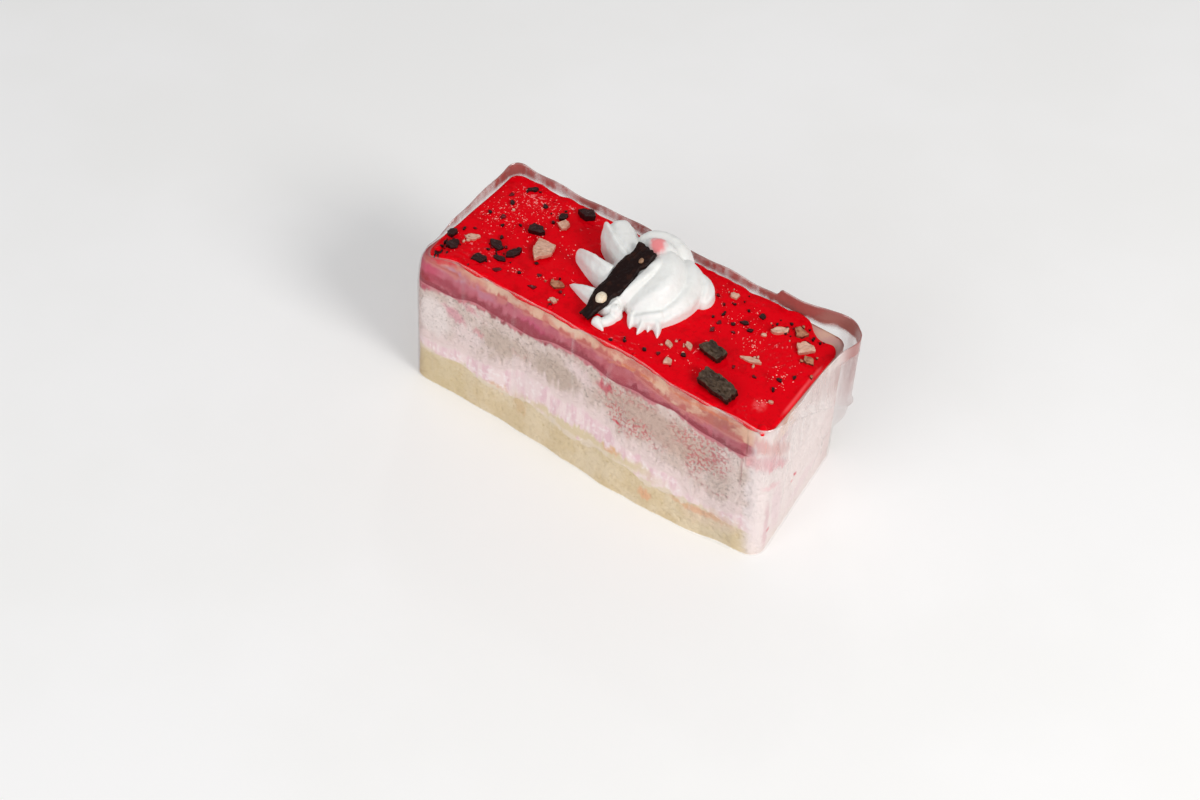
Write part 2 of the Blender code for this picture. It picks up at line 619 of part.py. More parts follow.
def make_film():
    total = outline_length()
    begin = -FILM_START_X
    shape = bmesh.new()
    bmesh.ops.create_grid(shape, x_segments=FILM_COLUMNS, y_segments=FILM_ROWS, size=1.0)
    for vert in shape.verts:
        walked = (vert.co.x + 1) / 2 * (total + FILM_OVERLAP)
        share = (vert.co.y + 1) / 2
        point, normal = outline_point(begin + walked)
        low = FILM_FOOT
        z = low + share * (film_top(point.x, point.y, walked) - low)
        dx, dy = wall_stray(point.x, point.y, z)
        offset = film_offset(point.x, point.y, z, walked)
        vert.co = (point.x + dx + normal.x * offset, point.y + dy + normal.y * offset, z)
    film = make_object("film_wrap", shape, make_material("clear film", (0.85, 0.82, 0.82), 0.2))
    shell = film.modifiers.new("thickness", "SOLIDIFY")
    shell.thickness = FILM_THICKNESS
    shell.offset = -1.0
    shell.use_even_offset = True


for old in list(bpy.data.objects):
    bpy.data.objects.remove(old)
parts = bpy.data.collections.new("strawberry_pastry_cake")
cutters = bpy.data.collections.new("cutters")
bpy.context.scene.collection.children.link(parts)
bpy.context.scene.collection.children.link(cutters)
cake = bpy.data.objects.new("cake", None)
cake.location = BOX_CENTRE_SHIFT
parts.objects.link(cake)

make_layers()
make_gel()
make_large_flakes()
make_rosette()
make_stick()
make_film()
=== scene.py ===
# A strawberry pastry cake in its clear film strip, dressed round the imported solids.
# Shapes are worked out in millimetres in the cake's own block and moved into the frame at the end.
import math
import random

import bpy
import numpy as np
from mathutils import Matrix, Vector


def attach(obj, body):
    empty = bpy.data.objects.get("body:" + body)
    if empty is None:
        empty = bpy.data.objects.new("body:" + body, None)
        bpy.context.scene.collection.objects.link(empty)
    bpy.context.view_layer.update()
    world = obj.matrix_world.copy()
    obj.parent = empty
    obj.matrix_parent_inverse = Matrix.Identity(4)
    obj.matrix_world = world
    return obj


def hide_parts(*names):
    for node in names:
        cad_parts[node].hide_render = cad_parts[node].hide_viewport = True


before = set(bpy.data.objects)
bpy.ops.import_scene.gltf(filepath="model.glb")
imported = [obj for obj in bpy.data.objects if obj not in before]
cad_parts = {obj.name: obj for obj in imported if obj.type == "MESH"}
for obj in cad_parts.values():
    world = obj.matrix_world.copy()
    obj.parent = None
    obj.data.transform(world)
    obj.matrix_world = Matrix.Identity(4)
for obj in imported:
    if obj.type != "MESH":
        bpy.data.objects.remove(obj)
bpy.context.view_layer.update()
print("frame loaded")

mm = 0.001

# The straight block before its walls stray, and how far they do
block = {
    "length": 111.2, "width": 43.6, "corner": 3.6,
    "topHeight": 46.4, "topFall": 0.0357,
    "shift": (-1.12, 2.10, 0.0),
    "frontSag": 4.6, "sagAt": 20.0, "sagReach": 36.0,
    "flare": 1.1, "endTwist": 1.7, "shear": 1.3,
    "ripple": 0.22, "shoulder": 2.0, "shoulderLow": 36.0, "leftReach": 3.8, "leftDroop": 2.4,
}

# Seams between the layers: height at mid-length, fall along X, one broad arch and a ripple
seams = {
    "base": dict(height=10.0, fall=0.036, arch=1.0, archAt=-4, reach=30, ripple=0.8, wave=27, phase=0.6),
    "cream": dict(height=13.4, fall=0.036, arch=9.3, archAt=-8, reach=31, ripple=0.9, wave=24, phase=2.1),
    "sponge": dict(height=34.6, fall=0.030, arch=3.4, archAt=0, reach=44, ripple=0.8, wave=31, phase=4.0),
    "berry": dict(height=40.7, fall=0.060, arch=1.9, archAt=0, reach=25, ripple=0.35, wave=36, phase=1.2),
}


# Numbers and noise

# 0 below low, 1 above high and 3t^2 - 2t^3 between them
def smoothStep(low, high, value):
    t = np.clip((value - low) / (high - low), 0.0, 1.0)
    return t * t * (3 - 2 * t)


# Bell curve: 1 at the centre, e^-1 at the reach
def hump(value, centre, reach):
    return np.exp(-((value - centre) / reach) ** 2)


noiseTable = np.random.RandomState(11).uniform(-1, 1, (48, 48, 48))


# Value noise: random numbers at whole-number corners, blended smoothly between them.
def softNoise(x, y, z):
    x, y, z = np.broadcast_arrays(x, y, z)
    cells = [np.floor(v).astype(int) for v in (x, y, z)]
    parts = [v - c for v, c in zip((x, y, z), cells)]
    fx, fy, fz = [p * p * (3 - 2 * p) for p in parts]
    side = noiseTable.shape[0]
    total = 0.0
    for i in (0, 1):
        for j in (0, 1):
            for k in (0, 1):
                weight = (fx if i else 1 - fx) * (fy if j else 1 - fy) * (fz if k else 1 - fz)
                corner = noiseTable[(cells[0] + i) % side, (cells[1] + j) % side, (cells[2] + k) % side]
                total = total + weight * corner
    return total


# Several softNoise fields, each twice as fine and half as strong as the last.
def layeredNoise(x, y, z, octaves=3, offset=0.0):
    total, strength, scale = 0.0, 1.0, 1.0
    for octave in range(octaves):
        field = softNoise(x * scale + offset, y * scale + 7.3 * octave, z * scale - offset)
        total = total + strength * field
        strength *= 0.5
        scale *= 2.03
    return total


# The block's shape

# Height of the gel's mean top: it falls evenly towards +X.
def topPlane(x):
    return block["topHeight"] - block["topFall"] * x


# A tilted line, a broad arch and two sine ripples that drift with y.
def seamHeight(name, x, y):
    seam = seams[name]
    turn = 2 * math.pi * x / seam["wave"] + seam["phase"] + y / 16.0
    ripple = np.sin(turn) + 0.45 * np.sin(2.3 * turn + 1.1)
    arch = seam["arch"] * hump(x, seam["archAt"], seam["reach"])
    return seam["height"] - seam["fall"] * x + arch + seam["ripple"] * ripple


# Sideways shift of a point: the foot flares, the front sags low down and draws in at its upper
# edge, the ends twist and the long sides run askew.
def wallStray(x, y, z):
    low = np.maximum(0.0, 1 - z / block["topHeight"])
    along = x / (block["length"] / 2)
    across = y / (block["width"] / 2)
    front = np.maximum(0.0, -across)
    sag = block["frontSag"] * hump(x, block["sagAt"], block["sagReach"]) * low ** 1.15
    ripple = block["ripple"] * np.sin(x / 2.9 + 5 * low) * np.sin(x / 11 + 1)
    shoulder = block["shoulder"] * smoothStep(block["shoulderLow"], block["topHeight"], z)
    shoulder = shoulder * (1 - smoothStep(0.1, 0.6, along))
    dy = block["flare"] * low * across - front * (sag + ripple - shoulder) - block["shear"] * along
    dx = block["flare"] * low * along - block["endTwist"] * low * np.maximum(0.0, along) ** 3 * across
    return dx, dy


# Share of the front left corner, which reaches out and droops: 1 there, fading along both walls
def leftCorner(x, y):
    return smoothStep(-45, -55, x) * smoothStep(-6, -19, y)


# Shift of that corner along X, less towards its top
def cornerShift(x, y, z):
    return -block["leftReach"] * leftCorner(x, y) * (1 - 0.45 * smoothStep(42, 47, z))


# Fall of that corner's top
def cornerDroop(x, y):
    return block["leftDroop"] * leftCorner(x, y) ** 2


# Both sideways shifts of a point together
def strayAll(x, y, z, cornerPart=1.0):
    dx, dy = wallStray(x, y, z)
    return dx + cornerPart * cornerShift(x, y, z), dy


# Rounded rectangle as a dense run of points and normals, clockwise seen from above, from the
# middle of the front towards -X.
def outlineTable():
    r = block["corner"]
    halfX, halfY = block["length"] / 2 - r, block["width"] / 2 - r
    corners = [(-halfX, -halfY, -90), (-halfX, halfY, 180), (halfX, halfY, 90), (halfX, -halfY, 0)]
    points, normals = [np.array([[0.0, -halfY - r]])], [np.array([[0.0, -1.0]])]
    for cx, cy, begin in corners:
        angle = np.radians(begin - np.linspace(0, 90, 19))
        normal = np.stack([np.cos(angle), np.sin(angle)], axis=1)
        points.append(np.array([[cx, cy]]) + r * normal)
        normals.append(normal)
    points.append(points[0])
    normals.append(normals[0])
    points, normals = np.concatenate(points), np.concatenate(normals)
    steps = np.linalg.norm(np.diff(points, axis=0), axis=1)
    return np.concatenate([[0.0], np.cumsum(steps)]), points, normals


outlineAt, outlinePoints, outlineNormals = outlineTable()
outlineLength = outlineAt[-1]


# Points and outward normals of the block's plan after walking the given distances.
def outline(walked):
    d = np.mod(walked, outlineLength)
    x, y = (np.interp(d, outlineAt, outlinePoints[:, i]) for i in (0, 1))
    nx, ny = (np.interp(d, outlineAt, outlineNormals[:, i]) for i in (0, 1))
    size = np.hypot(nx, ny)
    return x, y, nx / size, ny / size


# Meshes from arrays

# Corner numbers of the squares between neighbouring rows and columns.
def gridQuads(rows, columns, joined):
    r = np.arange(rows - 1)[:, None] * columns
    c = np.arange(columns if joined else columns - 1)[None, :]
    after = (c + 1) % columns
    return np.stack([r + c, r + after, r + columns + after, r + columns + c], axis=-1).reshape(-1, 4)


# Object for a mesh, lamp or camera, put into the scene
def addObject(name, data):
    made = bpy.data.objects.new(name, data)
    bpy.context.scene.collection.objects.link(made)
    return made


# Object from arrays: points in millimetres, faces turned so that the volume is positive.
def putMesh(name, points, quads, triangles, finish, marks=None, inBlock=True):
    points = np.asarray(points, float)
    split = np.concatenate([quads[:, :3], quads[:, [0, 2, 3]], triangles])
    a, b, c = (points[split[:, i]] for i in range(3))
    if np.einsum("ij,ij->i", a, np.cross(b, c)).sum() < 0:
        quads, triangles = quads[:, ::-1], triangles[:, ::-1]
    if inBlock:
        points = points + np.array(block["shift"])
    loops = np.concatenate([quads.ravel(), triangles.ravel()])
    sizes = np.concatenate([np.full(len(quads), 4), np.full(len(triangles), 3)])
    mesh = bpy.data.meshes.new(name)
    mesh.vertices.add(len(points))
    mesh.vertices.foreach_set("co", (points * mm).ravel())
    mesh.loops.add(len(loops))
    mesh.loops.foreach_set("vertex_index", loops.astype(np.int32))
    mesh.polygons.add(len(sizes))
    mesh.polygons.foreach_set("loop_start", np.concatenate([[0], np.cumsum(sizes)[:-1]]).astype(np.int32))
    mesh.polygons.foreach_set("use_smooth", np.ones(len(sizes), bool))
    for title, values in (marks or {}).items():
        values = np.ascontiguousarray(values, np.float32)
        layer = mesh.attributes.new(title, "FLOAT_COLOR" if values.ndim == 2 else "FLOAT", "POINT")
        layer.data.foreach_set("color" if values.ndim == 2 else "value", values.ravel())
    mesh.update(calc_edges=True)
    mesh.validate()
    mesh.materials.append(finish)
    return addObject(name, mesh)


# Faces of rings of points stacked in rows, closed by a pole at each end.
def closedRings(rings):
    rows, columns = rings.shape[:2]
    c = np.arange(columns)
    after = (c + 1) % columns
    last = (rows - 1) * columns
    low, high = np.full(columns, rows * columns), np.full(columns, rows * columns + 1)
    triangles = np.concatenate([np.stack([after, c, low], 1), np.stack([last + c, last + after, high], 1)])
    poles = np.stack([rings[0].mean(0), rings[-1].mean(0)])
    points = np.concatenate([rings.reshape(-1, 3), poles])
    return points, gridQuads(rows, columns, True), triangles


# Faces of two like grids, one over the other, joined round their border.
def closedSheet(top, bottom):
    rows, columns = top.shape[:2]
    ids = np.arange(rows * columns).reshape(rows, columns)
    upper = gridQuads(rows, columns, False)
    ring = np.concatenate([ids[:-1, 0], ids[-1, :-1], ids[:0:-1, -1], ids[0, :0:-1]])
    after = np.roll(ring, -1)
    under = rows * columns
    border = np.stack([ring, after, after + under, ring + under], 1)
    quads = np.concatenate([upper, upper[:, ::-1] + under, border])
    points = np.concatenate([top.reshape(-1, 3), bottom.reshape(-1, 3)])
    return points, quads, np.zeros((0, 3), int)


# Several (points, quads, triangles) sets as one.
def joinParts(parts):
    starts = np.cumsum([0] + [len(part[0]) for part in parts])
    points = np.concatenate([part[0] for part in parts])
    quads = np.concatenate([part[1] + start for part, start in zip(parts, starts)])
    triangles = np.concatenate([part[2] + start for part, start in zip(parts, starts)])
    return points, quads, triangles


# Rows of points on a unit ball from pole to pole, without the poles
def ballRings(rows, columns):
    theta = np.linspace(0, math.pi, rows + 2)[1:-1, None]
    phi = np.linspace(0, 2 * math.pi, columns, endpoint=False)[None, :]
    return np.stack([np.sin(theta) * np.cos(phi), np.sin(theta) * np.sin(phi), np.cos(theta) + 0 * phi], -1)


# Plan coordinates turned by an angle and then moved
def turned(x, y, angle, atX, atY):
    c, s = np.cos(angle), np.sin(angle)
    return atX + x * c - y * s, atY + x * s + y * c


# The piece stands in the frame in place of its nodes of the solids
def settle(piece, slot, *nodes):
    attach(piece, "root")
    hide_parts(*nodes)


# Mesh of a (points, quads, triangles) set, settled at once
def putPiece(name, parts, finish, slot, node, marks=None):
    settle(putMesh(name, *parts, finish, marks), slot, node)


# Materials

# Each input is linked to the socket given for it, or set to the value
def feed(tree, node, inputs):
    for key, value in inputs.items():
        if isinstance(value, bpy.types.NodeSocket):
            tree.links.new(value, node.inputs[key])
        else:
            node.inputs[key].default_value = value


# Shader node with its settings and inputs
def addNode(tree, kind, inputs=None, **settings):
    made = tree.nodes.new(kind)
    for key, value in settings.items():
        setattr(made, key, value)
    feed(tree, made, inputs or {})
    return made


# First colour where the share is 0, second where it is 1
def mixColours(tree, share, first, second):
    return addNode(tree, "ShaderNodeMix", {0: share, 6: first, 7: second}, data_type="RGBA").outputs[2]


# A colour given as it shows on a screen, 0 to 255, in the renderer's linear values.
def linear(red, green, blue):
    shown = np.array([red, green, blue]) / 255
    values = np.where(shown <= 0.04045, shown / 12.92, ((shown + 0.055) / 1.055) ** 2.4)
    return (*[float(v) for v in values], 1.0)


# Empty shader group with its sockets; gives the group and its two end nodes
def newGroup(name, inputs, outputs):
    group = bpy.data.node_groups.new(name, "ShaderNodeTree")
    for title, kind, value in inputs:
        socket = group.interface.new_socket(name=title, in_out="INPUT", socket_type=kind)
        if value is not None:
            socket.default_value = value
    for title, kind in outputs:
        group.interface.new_socket(name=title, in_out="OUTPUT", socket_type=kind)
    return group, addNode(group, "NodeGroupInput"), addNode(group, "NodeGroupOutput")


# Soft patches of a second colour over a first, from one stretched noise.
def makeBlotches():
    group, enter, leave = newGroup("blotches", [
        ("First", "NodeSocketColor", (0.8, 0.8, 0.8, 1)), ("Second", "NodeSocketColor", (0.5, 0.5, 0.5, 1)),
        ("Scale", "NodeSocketFloat", 200.0), ("Stretch", "NodeSocketVector", (1, 1, 1)),
        ("From", "NodeSocketFloat", 0.45), ("To", "NodeSocketFloat", 0.6),
        ("Strength", "NodeSocketFloat", 1.0)], [("Color", "NodeSocketColor")])
    place = addNode(group, "ShaderNodeTexCoord")
    stretch = addNode(group, "ShaderNodeVectorMath", {
        0: place.outputs["Object"], 1: enter.outputs["Stretch"]}, operation="MULTIPLY")
    noise = addNode(group, "ShaderNodeTexNoise", {
        "Vector": stretch.outputs[0], "Scale": enter.outputs["Scale"], "Detail": 4.0, "Roughness": 0.6})
    mask = addNode(group, "ShaderNodeMapRange", {
        "Value": noise.outputs["Fac"], "From Min": enter.outputs["From"], "From Max": enter.outputs["To"]},
        interpolation_type="SMOOTHSTEP")
    weak = addNode(group, "ShaderNodeMath", {0: mask.outputs["Result"], 1: enter.outputs["Strength"]},
                   operation="MULTIPLY")
    colour = mixColours(group, weak.outputs[0], enter.outputs["First"], enter.outputs["Second"])
    feed(group, leave, {"Color": colour})
    return group


# A height field of small lumps and pits, for Bump nodes.
def makeGrain():
    group, enter, leave = newGroup("grain", [
        ("Scale", "NodeSocketFloat", 900.0), ("Pits", "NodeSocketFloat", 0.5)],
        [("Height", "NodeSocketFloat")])
    place = addNode(group, "ShaderNodeTexCoord")
    noise = addNode(group, "ShaderNodeTexNoise", {
        "Vector": place.outputs["Object"], "Scale": enter.outputs["Scale"],
        "Detail": 5.0, "Roughness": 0.65})
    cells = addNode(group, "ShaderNodeTexVoronoi", {
        "Vector": place.outputs["Object"], "Scale": enter.outputs["Scale"]}, feature="SMOOTH_F1")
    mix = addNode(group, "ShaderNodeMix", {0: enter.outputs["Pits"], 2: noise.outputs["Fac"],
                                           3: cells.outputs["Distance"]}, data_type="FLOAT")
    feed(group, leave, {"Height": mix.outputs[0]})
    return group


blotches = makeBlotches()
grain = makeGrain()


# Principled material with its plain values and a Bump of grain: scale, pits, strength, distance
def newFinish(name, values, bumps=None):
    material = bpy.data.materials.new(name)
    material.use_nodes = True
    tree, shader = material.node_tree, material.node_tree.nodes["Principled BSDF"]
    feed(tree, shader, values)
    if bumps:
        height = addNode(tree, "ShaderNodeGroup", {"Scale": bumps[0], "Pits": bumps[1]}, node_tree=grain)
        bump = addNode(tree, "ShaderNodeBump", {"Height": height.outputs["Height"], "Strength": bumps[2],
                                                "Distance": bumps[3]})
        feed(tree, shader, {"Normal": bump.outputs["Normal"]})
    return material, tree, shader


# Patches of the second colour over the first, where the noise runs from low to high
def blotch(tree, first, second, scale, low, high, strength=1.0, stretch=(1, 1, 1)):
    values = {"First": first, "Second": second, "Scale": scale, "From": low, "To": high,
              "Strength": strength, "Stretch": stretch}
    return addNode(tree, "ShaderNodeGroup", values, node_tree=blotches).outputs["Color"]


# Second colour where the piece's own mark runs from low to high.
def mixByMark(tree, first, second, mark, low, high):
    attribute = addNode(tree, "ShaderNodeAttribute", attribute_name=mark)
    fade = addNode(tree, "ShaderNodeMapRange", {"Value": attribute.outputs["Fac"], "From Min": low,
                                                "From Max": high}, interpolation_type="SMOOTHSTEP")
    return mixColours(tree, fade.outputs["Result"], first, second)


# Sponge or cream seen at the cut: a base colour, patches, stains with two painted shade lines along the
# film's edge, fine specks, and bleed at its seams.
def spongeFinish(name, look):
    material, tree, shader = newFinish(name, {"Roughness": look["roughness"]},
                                       (look["grain"], look["pits"], 0.6, look["bump"]))
    colour = blotch(tree, look["colour"], look["patch"], look["patchScale"], 0.40, 0.62, 0.9,
                    look.get("stretch", (1, 1, 1)))
    stainAndShadeMark = addNode(tree, "ShaderNodeAttribute", attribute_name="stain")
    colour = mixColours(tree, stainAndShadeMark.outputs["Alpha"], colour, stainAndShadeMark.outputs["Color"])
    for speck, scale, low, high, strength in look["specks"]:
        colour = blotch(tree, colour, speck, scale, low, high, strength)
    full = addNode(tree, "ShaderNodeMath", {0: stainAndShadeMark.outputs["Alpha"], 1: 6.0}, operation="POWER")
    colour = mixColours(tree, full.outputs[0], colour, stainAndShadeMark.outputs["Color"])
    if "syrup" in look:
        soaked = blotch(tree, colour, look["syrup"], 1150.0, 0.48, 0.59, 0.66)
        colour = mixByMark(tree, colour, soaked, "syrup", 0.0, 1.0)
    for tint, mark, low, high in look["marks"]:
        colour = mixByMark(tree, colour, tint, mark, low, high)
    feed(tree, shader, {"Base Color": colour})
    return material


# A small glossy bead or crumb
def beadFinish(name, colour, patch):
    material, tree, shader = newFinish(name, {"Roughness": 0.35}, (1200.0, 0.1, 0.3, 0.0002))
    feed(tree, shader, {"Base Color": blotch(tree, colour, patch, 700.0, 0.45, 0.65)})
    return material


# Layers of the cake

layerLooks = {
    "spongeBase": {
        "node": "sponge_base", "slot": "yellow_sponge", "low": None, "high": "base", "rows": 30,
        "pitDepth": 0.28, "pitSize": 0.8,
        "colour": linear(214, 192, 154), "patch": linear(222, 203, 172), "patchScale": 150.0,
        "specks": [(linear(184, 158, 112), 1300.0, 0.56, 0.68, 0.5)],
        "marks": [(linear(224, 206, 184), "nearTop", 0.66, 1.0)],
        "roughness": 0.7, "grain": 1400.0, "pits": 0.4, "bump": 0.0004,
    },
    "lowerCream": {
        "node": "cream_lower", "slot": "pink_cream", "low": "base", "high": "cream", "rows": 40,
        "pitDepth": 0.10, "pitSize": 2.0,
        "colour": linear(238, 216, 214), "patch": linear(224, 184, 192), "patchScale": 420.0,
        "stretch": (1.0, 1.0, 0.16), "bleedTop": 4.0,
        "specks": [(linear(246, 234, 233), 620.0, 0.52, 0.64, 0.6)],
        "marks": [(linear(224, 206, 184), "nearLow", 0.62, 1.0),
                  (linear(228, 206, 202), "nearTop", 0.5, 1.0)],
        "roughness": 0.5, "grain": 500.0, "pits": 0.1, "bump": 0.0003,
    },
    "poreSponge": {
        "node": "sponge_middle", "slot": "grey_sponge", "low": "cream", "high": "sponge", "rows": 60,
        "pitDepth": 0.36, "pitSize": 0.75,
        "colour": linear(206, 184, 174), "patch": linear(224, 204, 198), "patchScale": 150.0,
        "specks": [(linear(150, 132, 122), 1000.0, 0.55, 0.64, 0.6)],
        "syrup": linear(190, 66, 78), "bleedLow": 7.0, "bleedTop": 3.0,
        "marks": [(linear(228, 206, 202), "nearLow", 0.25, 0.85),
                  (linear(198, 116, 124), "nearTop", 0.6, 1.0)],
        "roughness": 0.72, "grain": 1200.0, "pits": 0.45, "bump": 0.0005,
    },
    "berryBand": {
        "node": "berry_band", "slot": "berry_mousse", "low": "sponge", "high": "berry", "rows": 22,
        "pitDepth": 0.08, "pitSize": 1.6,
        "colour": linear(178, 76, 90), "patch": linear(160, 50, 66), "patchScale": 230.0,
        "specks": [(linear(192, 112, 124), 260.0, 0.50, 0.66, 0.6)],
        "marks": [(linear(144, 32, 52), "nearLow", 0.3, 0.8),
                  (linear(196, 112, 108), "nearTop", 0.5, 1.0)],
        "roughness": 0.5, "grain": 600.0, "pits": 0.2, "bump": 0.0003,
    },
    "topCream": {
        "node": "cream_top", "slot": "beige_cream", "low": "berry", "high": None, "rows": 20,
        "cap": (208, 168, 160), "pitDepth": 0.05, "pitSize": 1.8,
        "colour": linear(212, 148, 126), "patch": linear(202, 118, 102), "patchScale": 150.0,
        "specks": [(linear(222, 184, 156), 210.0, 0.46, 0.62, 0.7)],
        "marks": [(linear(188, 92, 84), "nearLow", 0.5, 1.0)],
        "roughness": 0.5, "grain": 600.0, "pits": 0.1, "bump": 0.0002,
    },
}
# Stains on the front and on the right end, and on the front two thin dark lines of painted shade along
# the film's free edge: place along it (x or y), height, reach along and upward, fall along the side,
# colour, strength. Later ones lie over earlier ones
stainsAndShade = {
    "front": [
        (-50, 5, 12, 8, 0.0, (206, 186, 144), 0.5), (2, 12.2, 25, 2.6, 0.03, (216, 196, 160), 0.95),
        (42, 7, 9, 4, 0.0, (224, 200, 178), 0.6), (-30, 11.6, 5, 1.6, -0.1, (212, 160, 104), 0.6),
        (-22, 9.2, 3, 3.2, 0.0, (206, 164, 108), 0.45), (10, 13.5, 2.8, 1.2, 0.0, (222, 160, 118), 0.6),
        (22, 4.6, 2.4, 2.0, 0.0, (228, 152, 110), 0.55), (38, 8.0, 9, 1.3, 0.1, (218, 150, 108), 0.5),
        (-29, 29, 9, 4.5, 0.0, (194, 172, 158), 0.8), (-10, 28.6, 10, 6, 0.1, (192, 170, 156), 0.85),
        (24, 29, 22, 6.5, 0.15, (194, 164, 150), 0.85), (-51, 25, 5, 9, 0.0, (232, 218, 214), 0.85),
        (-41, 25, 6, 5, 0.0, (230, 210, 208), 0.7), (-19, 20, 5, 5, 0.0, (234, 214, 212), 0.7),
        (-45, 30.6, 3.2, 2.4, 0.3, (212, 142, 154), 0.7), (-37, 28.4, 2.4, 1.4, 0.3, (204, 104, 118), 0.45),
        (-2, 33.2, 5, 2.8, 0.3, (226, 203, 200), 0.92), (-30, 41.6, 24, 1.7, 0.0, (186, 92, 108), 0.8),
        (18, 39.6, 18, 2.2, 0.05, (182, 88, 94), 0.7), (40, 40.4, 11, 2.4, 0.03, (172, 74, 64), 0.75),
        (44, 37, 5, 2.6, 0.0, (178, 78, 92), 0.6), (12, 37.4, 8, 1.6, 0.1, (166, 58, 70), 0.7),
        (-52, 43.4, 9, 3.0, 0.0, (188, 98, 112), 0.9), (-38, 43.2, 9, 1.6, 0.1, (192, 106, 114), 0.7),
        (-8, 45.0, 7, 1.6, 0.04, (218, 184, 160), 0.85), (-34, 46.4, 9, 1.0, 0.0, (216, 172, 150), 0.7),
        (24, 44.2, 24, 1.3, 0.04, (194, 104, 90), 0.65), (14, 42.3, 10, 0.6, -0.05, (206, 112, 72), 0.75),
        (36, 42.6, 13, 0.6, 0.03, (206, 108, 70), 0.8), (-54, 41.0, 5, 5.5, 0.0, (190, 62, 92), 0.85),
        (-46.5, 43.6, 4.6, 1.3, 0.15, (186, 130, 146), 0.75), (-37, 42.2, 5, 1.2, 0.18, (180, 114, 134), 0.6),
        (-18, 39.4, 7, 1.9, 0.1, (190, 66, 104), 0.65), (-29, 44.6, 8, 1.2, 0.06, (208, 176, 154), 0.7),
        (-40, 35.4, 3.0, 1.2, 0.3, (206, 116, 134), 0.5), (-54, 36.2, 4, 2.2, 0.0, (190, 72, 98), 0.85),
        (-53.2, 39.2, 1.4, 1.2, 0.0, (150, 8, 30), 0.98), (-52.2, 38.4, 1.4, 1.2, 0.0, (150, 8, 30), 0.98),
        (-54.0, 38.2, 1.3, 1.2, 0.0, (160, 16, 44), 0.95), (-51, 46.0, 6, 1.5, -0.17, (206, 20, 42), 0.95),
        (-48, 39.4, 5, 1.4, 0.1, (160, 48, 68), 0.85), (-26, 38.4, 23, 1.9, 0.0, (148, 36, 56), 0.88),
        (5.5, 33.2, 2.8, 2.0, 0.0, (190, 60, 82), 0.8), (11, 23.7, 1.7, 0.6, 0.1, (204, 40, 66), 0.9),
        (54.5, 22, 4.6, 30, 0.0, (232, 217, 215), 0.95), (54, 38.5, 4, 2.6, 0.3, (212, 136, 130), 0.8),
        # At x 49.8 and 48.9: thin dark upright lines, painted shade along the film's free edge
        (53, 32.5, 4, 3.0, 0.3, (222, 150, 154), 0.7), (49.8, 39, 0.4, 7, 0.0, (140, 58, 60), 0.7),
        (48.9, 29, 0.35, 8, 0.0, (150, 84, 84), 0.55),
    ],
    "end": [
        (4, 16, 34, 34, 0.0, (229, 215, 212), 0.98), (-13, 11, 3.4, 9, 0.2, (224, 198, 202), 0.6),
        (2, 6, 9, 2.4, -0.2, (226, 204, 206), 0.6), (-18.5, 9, 1.2, 9, 0.0, (212, 170, 176), 0.6),
        (6, 39.6, 24, 6.4, 0.6, (208, 178, 173), 0.95), (-17, 35.4, 9, 2.8, 0.75, (206, 120, 108), 0.9),
        (-17, 30.4, 9, 2.6, 0.75, (214, 126, 138), 0.8), (-17, 22.0, 5, 1.0, 0.5, (228, 172, 178), 0.5),
        (-3, 13.6, 0.8, 0.6, 0.0, (206, 40, 74), 0.95), (-4.6, 12.6, 0.5, 0.4, 0.0, (206, 40, 74), 0.95),
        (-17, 6.4, 0.7, 0.5, 0.0, (206, 60, 90), 0.95), (20, 21.4, 0.9, 0.9, 0.0, (188, 30, 58), 0.95),
    ],
}
gelThickness = 1.3
wallWave = 0.18
wallColumns = 780
seamGap = 0.02


# Lower and upper face of a layer: a seam each, or the floor and the gel's under face
def layerHeights(look, x, y):
    low = np.zeros_like(x) if look["low"] is None else seamHeight(look["low"], x, y) + seamGap
    underGel = topPlane(x) - gelThickness - seamGap - cornerDroop(x, y)
    high = underGel if look["high"] is None else seamHeight(look["high"], x, y) - seamGap
    return low, high


# Colour and share of the stains and painted shade lines at points of the wall. Each is full within half
# its reach and fades out by a warped distance; the warp runs in upright streaks
def stainAndShadeWall(walked, x, y, z):
    sides = {"front": smoothStep(-12, -17, y) * smoothStep(57, 55.5, x), "end": smoothStep(53.6, 55.2, x)}
    warpX = 1.1 * layeredNoise(walked / 3.6, z / 3.0, 12.2, 3)
    warpZ = 0.9 * layeredNoise(walked / 2.8, z / 2.6, 21.4, 3)
    warpZ = warpZ + 1.3 * layeredNoise(walked / 0.8, z / 13.0, 33.3, 2)
    colour, share = np.zeros(z.shape + (3,)), np.zeros(z.shape)
    rows = [(side, *row) for side in stainsAndShade for row in stainsAndShade[side]]
    for side, place, height, reachX, reachZ, fall, tint, strength in rows:
        along = (x if side == "front" else y) - place
        soft = min(1.0, min(reachX, reachZ) / 2.0)
        across = (z + warpZ * soft - height + fall * along) / reachZ
        distance = np.hypot((along + warpX * soft) / reachX, across)
        mask = strength * smoothStep(1.25, 0.5, distance) * sides[side]
        colour = colour * (1 - mask[..., None]) + np.array(linear(*tint)[:3]) * mask[..., None]
        share = share + mask - share * mask
    return colour / np.maximum(share, 1e-4)[..., None], share


